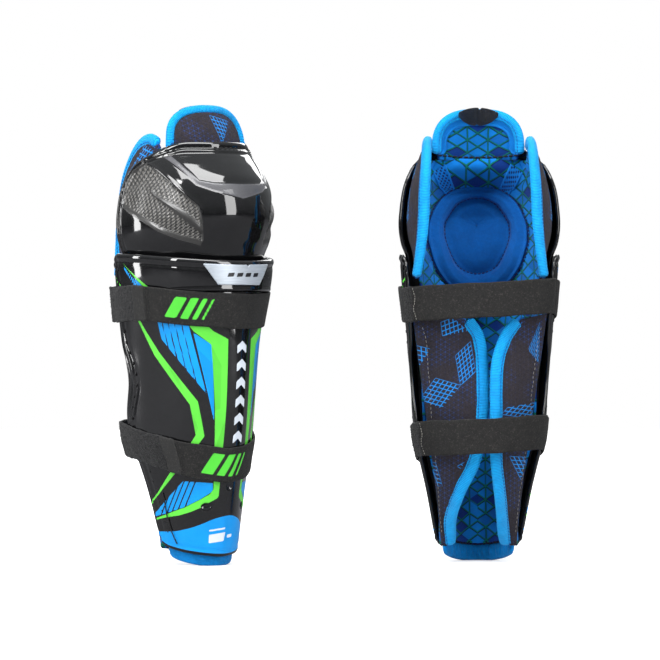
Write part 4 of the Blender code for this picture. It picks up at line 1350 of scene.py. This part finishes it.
def build_gussets():
    """Open tape over the lining's two upper corners."""
    parts = []
    for side in (-1, 1):
        across, run = mesh_grid(16, 40, -1.0, 1.0)
        x = side * (27.5 - 9.5 * (1 - run)) + across * 4.6
        z = 301.3 - 18.0 * (1 - run) - side * across * 2.4
        share = np.degrees(np.arcsin(np.clip(x / (along(CAP_WIDTH, z) - 12.4), -1, 1))) / along(CAP_REACH,
                                                                                                z)
        base = lining_point(share, (z - 200.0) / 106.8)
        normal = grid_normals(base)
        parts.append(slab(base - normal * 2.9, base - normal * 3.8,
                          {"st": stack(across * 4.6, run * 26, 0 * x)}))
    place("lining_gussets", joined(parts), "mesh_tape", "knee", (), "blue_knit")


# --- Wings and flap ---


def mirrored(shape):
    points, faces, values = shape
    return points * np.array((-1, 1, 1)), [f[::-1] for f in faces], values


KNEE_PATCHES = (((2, 286), (24, 292), (30, 316), (4, 306)), ((2, 256), (16, 261), (17, 284), (3, 282)))
# On the calf wings and the flap, as (x, z).
LATERAL_PATCHES = (
    ((-29.9, 182.5), (-20.9, 186), (-9.2, 176), (-28.6, 172)), ((-48, 165), (-37.4, 162.4), (-46.8, 147.6)),
    ((-18.9, 157.3), (-7.3, 168.3), (-3.4, 145), (-15, 134.6)),
    ((-33.6, 140.5), (-14.6, 135), (-28.9, 117.5), (-45.5, 124)),
    ((-37, 77), (-33, 76), (-28, 58), (-31.5, 58.3)), ((-17.6, 73.8), (-11.8, 77), (-14.4, 71.9)),
)
MEDIAL_PATCHES = (
    ((45.1, 182.5), (36.1, 161.8), (44.5, 151.5)),
    ((15.4, 113.2), (20.5, 118.5), (41.3, 121.7), (42.6, 108.8)),
    ((21.8, 81.6), (36.1, 80.3), (31.5, 62.8)),
)
FLAP_PATCHES = (((-2, 338), (17, 334), (5, 316)),)


def printed_grid(s, z, patches, pitch=3.4):
    """Each point's place in the grid of the nearest patch, and its distance inside that patch."""
    best = np.full(s.shape + (3,), -9.0)
    for patch in patches:
        p = np.array(patch, float)
        one, two = p[1] - p[0], p[-1] - p[0]
        share = np.linalg.solve(np.stack([one, two], -1), (np.stack([s, z], -1) - p[0]).reshape(-1, 2).T).T
        share = share.reshape(s.shape + (2,)) * np.round(np.linalg.norm([one, two], axis=-1) / pitch)
        inside = to_shape_distance(s, z, patch)
        found = np.concatenate([share, inside[..., None]], -1)
        best = np.where((inside > best[..., 2])[..., None], found, best)
    return best


def printed_wing(point, coarse, fine, cap, patches, flip, planar=True):
    u, v, outer, inner = cushion(point, WING_WALL, coarse, fine, cap, flip=flip, slim=0.5, wrinkle=0.12)
    steps = np.linalg.norm(np.diff(outer, axis=0), axis=-1)
    run = np.concatenate([np.zeros((1, outer.shape[1])), np.cumsum(steps, 0)])
    s = outer[..., 0] if planar else run[-1:] - run
    z = outer[..., 2]
    data = {"st": stack(s, z, 0 * z), "grid": printed_grid(s, z, patches), "channel": 0 * z - 9}
    return slab(outer, inner, data)


def bound_edge(point, side, lift, wall, count=90):
    """The middle of the binding along a wing's free edge, and the direction back to the wing."""
    f = np.linspace(0, 1, count)
    near, end = point(0 * f + 0.9, f), point(0 * f + 1.0, f)
    rising = unit(np.gradient(end, axis=0))
    out = unit(end - near)
    inward = unit(np.cross(out, rising)) * side * wall / 2
    return end + out * lift + inward, -out


def build_knee_wings():
    shape = printed_wing(knee_wing_point, (14, 34), (46, 110), 1.3, KNEE_PATCHES, True, planar=False)
    middle, back = bound_edge(knee_wing_point, 1, 1.8, WING_WALL)
    bound, edge, normal = tape(middle, back, 5.0, 3.5)
    thread = joined([stitches(edge + normal * k * 2.58, 2.7, 1.8, 0.3) for k in (-1, 1)])
    for label, change in (("lateral", lambda x: x), ("medial", mirrored)):
        place(f"knee_wing_cloth_{label}", change(shape), "wing", "knee", [f"knee_wing_{label}"],
              "black_fabric", fill=0.5)
        place(f"knee_wing_tape_{label}", change(bound), "binding", "knee", [f"knee_wing_binding_{label}"],
              "blue_binding")
        place(f"knee_wing_stitches_{label}", change(thread), "azure_thread", "knee", (), "blue_binding")


def build_calf_wings():
    for label, edge, side, patches in (
        ("lateral", LATERAL_WING_EDGE, 1, LATERAL_PATCHES),
        ("medial", MEDIAL_WING_EDGE, -1, MEDIAL_PATCHES),
    ):
        point = calf_wing_point(edge, side)
        shape = printed_wing(point, (18, 56), (60, 180), 1.6, patches, side > 0)
        body = f"calf_wing_{label}"
        place(f"calf_wing_cloth_{label}", shape, "wing", body, [body], "black_fabric", fill=0.5)
        middle, back = bound_edge(point, side, 2.4, WING_WALL)
        bound, line, normal = tape(middle, back, 5.2, 3.1)
        place(f"calf_wing_tape_{label}", bound, "binding", body, [f"calf_wing_binding_{label}"],
              "blue_binding")
        thread = joined([stitches(line + normal * k * 2.5, 2.7, 1.8, 0.3) for k in (-1, 1)])
        place(f"calf_wing_stitches_{label}", thread, "azure_thread", body, (), "blue_binding")
        f = np.linspace(0.06, 0.94, 90)
        root = point(0.17 + 0.03 * np.sin(9 * f) + 0.012 * np.sin(31 * f),
                     f) + np.array((-0.3 * side, 1.9, 0))
        place(f"calf_wing_topstitch_{label}", stitches(root, 3.4, 2.0, 0.17, wander=0.9), "grey_thread",
              body, (), "black_fabric")


def build_flap():
    """The thigh flap, its binding, the groove that frames its middle, and the stitches along its fold. The
    tag at its top is built apart.
    """

    def point(u, v):
        share = np.sin(math.pi * (u - 0.5))
        start = 0.6 + 0.6 * share**2
        return flap_point(30.5 * share, start + (flap_height(share) - start) * v)

    def seams(u, v):
        out = np.abs(2 * u - 1)
        return (np.abs(out - 0.62) < 0.03) & (v < 0.8) | (np.abs(v - 0.78) < 0.06) & (out < 0.64)

    u, v, outer, inner = cushion(point, WING_WALL, (34, 18), (110, 60), 1.7, seams=seams, slim=0.5,
                                 wrinkle=0.1)
    s, z = outer[..., 0], outer[..., 2]
    outline = [(31.5 * math.sin(a), 307.0 + flap_height(math.sin(a))) for a in np.linspace(-math.pi / 2,
                                                                                           math.pi / 2, 41)]
    rimward = to_line_distance(s, z, outline)
    ridge = np.where(z > 309, hill(rimward, 4.9, 0.8) * 1.0 - hill(rimward, 6.3, 0.7) * 0.8, 0)
    inner = inner - unit(outer - inner) * ridge[..., None]
    data = {"st": stack(s, z, 0 * s), "grid": printed_grid(s, z, FLAP_PATCHES), "channel": 5.6 - rimward}
    place("thigh_flap_cloth", slab(outer, inner, data), "wing", "thigh_flap", ["thigh_flap"],
          "black_fabric", fill=0.6)
    f = np.linspace(0, 1, 120)
    angle = math.pi * (1 - f)
    cosine, sine = np.cos(angle), np.sin(angle)
    x = 31.8 * np.sign(cosine) * np.abs(cosine) ** (2 / 2.7)
    up = 7.5 + 27.6 * np.maximum(sine, 0) ** (2 / 2.7)
    up = np.where(sine < 1e-6, 4.0, up)
    middle = flap_point(x, up, -WING_WALL / 2 - 1.6 * (1 - smooth_step(up, 4, 16)))
    middle = resampled(middle, 1.0)[0]
    back = unit(np.array((0, -26, 316.0)) - middle) * np.array((1, 0.2, 1))
    bound, edge, normal = tape(middle, back, 3.7, 3.0)
    place("thigh_flap_tape", bound, "binding", "thigh_flap", ["thigh_flap_binding"], "blue_binding")
    parts = [stitches(edge + normal * k * 2.1, 2.7, 1.7, 0.28) for k in (-1, 1)]
    place("thigh_flap_stitches", joined(parts), "azure_thread", "thigh_flap", (), "blue_binding")
    across = np.linspace(-29, 29, 80)
    fold = flap_point(across, 1.9 + 1.2 * (across / 30) ** 2, -WING_WALL - 0.9)
    place("fold_stitches", stitches(fold, 4.4, 3.6, 0.7, wander=0.5), "black_thread", "thigh_flap", (),
          "black_fabric")


def build_tag():
    share, v = mesh_grid(60, 26)
    bow = 1.8 * v**0.5 + 2.4 * v * (1 - share**2) + 8.0 * v**1.5 * smooth_step(share, 0.4, -1.0)
    crumple = 0.35 * np.sin(share * 6 + 2 * v) * v + 0.9 * hill(np.abs(share - 0.1), 0.32,
                                                                0.1) * (1 - 0.4 * v)
    lower = 26.5 + 7.0 * np.abs(share) ** 2.6 + 0.8 * hill(share, -0.05, 0.08)
    upper = 39.0 - 3.5 * np.abs(share) ** 2.2 - 1.6 * hill(share, 0.06, 0.06)
    outer = flap_point(14.8 * share, lower + (upper - lower) * v, -WING_WALL - 1.4 - bow - crumple)
    normal = grid_normals(outer)
    shape = slab(outer, outer - normal * 0.7, {"st": stack(14.5 * share, 12.5 * v, 0 * v)})
    steps = (np.linalg.norm(np.diff(outer, axis=0), axis=-1).sum(0).mean(),
             np.linalg.norm(np.diff(outer, axis=1), axis=-1).sum(1).mean())
    flat = tuple(float(x) * MM for x in steps)
    place("side_tag_cloth", shape, "tag", "thigh_flap", ["side_tag"], "black_fabric",
          cloth=(flat, "folded", ["thigh_flap_cloth"]))


# --- Straps ---


def strap_slab(strap, start, end, lift_start, lift_end=None, pitch=0.9, fuzz=0.0, mark=None,
               wall=STRAP_WALL):
    length = 58 * abs(end - start)
    columns, rows = max(8, int(length / pitch)), int(strap["width"] / pitch) + 1
    u, across = np.meshgrid(np.linspace(0, 1, columns), np.linspace(-1, 1, rows), indexing="ij")
    place_at = start + (end - start) * u
    place_at = np.where(place_at > 2, place_at - 4, place_at)
    rise = 0.0 if lift_end is None else (lift_end - lift_start) * smooth_step(u, 0.85, 0.97)
    lift = lift_start + rise
    ripple = 0.10 * np.sin(u * 37 + across * 2) * (1 - across**2) + 0.12 * np.sin(u * 23) * across**3
    if fuzz:
        ripple = ripple + RNG.normal(0, fuzz, u.shape)
    narrow = across * (0.985 + 0.012 * np.sin(u * 31))
    outer = strap_point(strap, place_at, narrow, lift + ripple)
    inner = strap_point(strap, place_at, narrow, lift - wall)
    if end < start:
        outer, inner = outer[::-1], inner[::-1]
        place_at, across = place_at[::-1], across[::-1]
    steps = np.linalg.norm(np.diff(outer, axis=0), axis=-1)
    s = np.concatenate([np.zeros((1, rows)), np.cumsum(steps, 0)])
    front = np.argmin(np.abs(place_at[:, rows // 2]))
    s = s - s[front]
    z = across * strap["width"] / 2
    data = {"st": stack(s, z, 0 * s), "mark": any_of(s, z, mark) if mark else 0 * s - 9}
    return slab(outer, inner, data)


def bars(start):
    """A generic mark of slanted bars, 36 mm long."""
    found = []
    for offset, width in ((0.0, 9.0), (12.0, 6.0), (21.0, 3.6), (28.0, 1.8)):
        a = start + offset
        found.append(((a, -8.2), (a + width, -8.2), (a + width + 8, 8.2), (a + 8, 8.2)))
    return found


def build_strap(strap, mark_start):
    name = strap["name"]
    top = 0.5 + STRAP_WALL
    raised = top + STRAP_WALL + 0.6
    panel = strap_slab(strap, -1.25, strap["panel_front"], top, pitch=0.62, fuzz=0.26)
    place(f"{name}_loop_fuzz", panel, "pile", "shin", [f"{name}_loop_panel"], "loop_pile")
    back = strap_slab(strap, 1.009, 4 - 1.265, top)
    place(f"{name}_back_web", back, "strap", "shin", [f"{name}_back_strap"], "strap_elastic")
    front = strap_slab(strap, 0.991, strap["tab_front"], top, raised, mark=bars(mark_start))
    body = f"{name}_front_strap"
    place(f"{name}_front_web", front, "strap", body, [body], "strap_elastic")
    tab = strap_slab(strap, strap["tab_front"] - 0.004, strap["tab_end"], raised + 0.15, wall=1.9)
    place(f"{name}_hook_end", tab, "tab", body, [f"{name}_hook_tab"], "strap_elastic")
    across = np.linspace(-0.9, 0.9, 30)
    parts = []
    for shift in (0.012, 0.030):
        path = strap_point(strap, 0 * across + strap["tab_front"] + shift, across, raised + 0.05)
        parts.append(stitches(path, 1.9, 1.3, 0.24, wander=0.4))
    place(f"{name}_tab_stitches", joined(parts), "black_thread", body, (), "strap_elastic")
    wave = -1.30 - 0.016 * np.sin(across * 5)
    path = strap_point(strap, wave, across, top + 0.1)
    place(f"{name}_end_stitches", stitches(path, 2.0, 1.4, 0.22, wander=0.6), "grey_thread", "shin", (),
          "strap_elastic")


# --- Studio ---


def studio():
    scene = bpy.context.scene
    scene.view_settings.view_transform = "Standard"
    world = bpy.data.worlds.new("studio")
    scene.world = world
    world.use_nodes = True
    tree = world.node_tree
    tree.nodes.clear()
    out = tree.nodes.new("ShaderNodeOutputWorld")
    seen = tree.nodes.new("ShaderNodeBackground")
    seen.inputs[0].default_value = (1, 1, 1, 1)
    seen.inputs[1].default_value = 1.0
    fill = tree.nodes.new("ShaderNodeBackground")
    # Soft light from overhead, and little from the sides for the gloss to mirror.
    heading = tree.nodes.new("ShaderNodeTexCoord")
    parts = tree.nodes.new("ShaderNodeSeparateXYZ")
    rise = tree.nodes.new("ShaderNodeMapRange")
    tree.links.new(heading.outputs["Generated"], parts.inputs[0])
    tree.links.new(parts.outputs[2], rise.inputs[0])
    for socket, value in zip(rise.inputs[1:5], (-0.1, 0.9, 0.07, 0.62)):
        socket.default_value = value
    fill.inputs[0].default_value = (0.93, 0.97, 1.0, 1)
    tree.links.new(rise.outputs[0], fill.inputs[1])
    path = tree.nodes.new("ShaderNodeLightPath")
    mix = tree.nodes.new("ShaderNodeMixShader")
    tree.links.new(path.outputs["Is Camera Ray"], mix.inputs[0])
    tree.links.new(fill.outputs[0], mix.inputs[1])
    tree.links.new(seen.outputs[0], mix.inputs[2])
    tree.links.new(mix.outputs[0], out.inputs[0])

    mesh = bpy.data.meshes.new("floor")
    mesh.from_pydata([(-4, -4, 0), (4, -4, 0), (4, 4, 0), (-4, 4, 0)], [], [(0, 1, 2, 3)])
    floor = bpy.data.objects.new("floor", mesh)
    scene.collection.objects.link(floor)
    look = Look("pale_floor")
    paper = look.blend(look.noise(0.004, 2.0), (0.58, 0.58, 0.58, 1), (0.62, 0.62, 0.62, 1))
    mirrored_in_gloss = look.node("LightPath").outputs["Is Glossy Ray"]
    look.set("Base Color", look.blend(mirrored_in_gloss, paper, (0.16, 0.16, 0.17, 1)))
    look.set("Roughness", 0.9)
    # The paper glows away from the guards, and so runs into the white behind them.
    off = look.node("VectorMath", {0: look.space(), 1: (100.0, 0.0, 0.0)},
                    operation="DISTANCE").outputs["Value"]
    seen_directly = look.node("LightPath").outputs["Is Camera Ray"]
    look.set("Emission Color", (1, 1, 1, 1))
    look.set("Emission Strength", look.times(look.ramp(off, 200.0, 900.0, 0.45, 1.1), seen_directly))
    mesh.materials.append(look.material)

    for name, spot, aim, size, power in LAMPS:
        data = bpy.data.lights.new(name, "AREA")
        data.shape = "RECTANGLE"
        data.size, data.size_y = size
        data.energy = power
        obj = bpy.data.objects.new(name, data)
        scene.collection.objects.link(obj)
        obj.location = spot
        obj.rotation_euler = (Vector(aim) - Vector(spot)).to_track_quat("-Z", "Y").to_euler()


def camera():
    data = bpy.data.cameras.new("camera")
    obj = bpy.data.objects.new("camera", data)
    bpy.context.scene.collection.objects.link(obj)
    data.sensor_width = 36.0
    data.lens = data.sensor_width * CAMERA_DISTANCE / VIEW_WIDTH
    obj.location = (0.1088, -CAMERA_DISTANCE, 0.1766)
    obj.rotation_euler = (math.pi / 2, 0, 0)
    bpy.context.scene.camera = obj


def main():
    camera()
    studio()
    for side in GUARDS:
        for node in ("shin_foam", "knee_foam"):
            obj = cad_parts[f"{side}_{node}"]
            for slot_at in obj.material_slots:
                slot_at.material = LOOKS["foam"]
    build_shell()
    build_shell_stitches()
    build_thread_tail()
    build_badge()
    build_liner()
    build_hem()
    build_cap()
    build_knee_liner()
    build_knee_pad()
    build_gussets()
    build_knee_wings()
    build_flap()
    build_tag()
    build_calf_wings()
    build_strap(UPPER_STRAP, -58.0)
    build_strap(LOWER_STRAP, -24.0)


main()
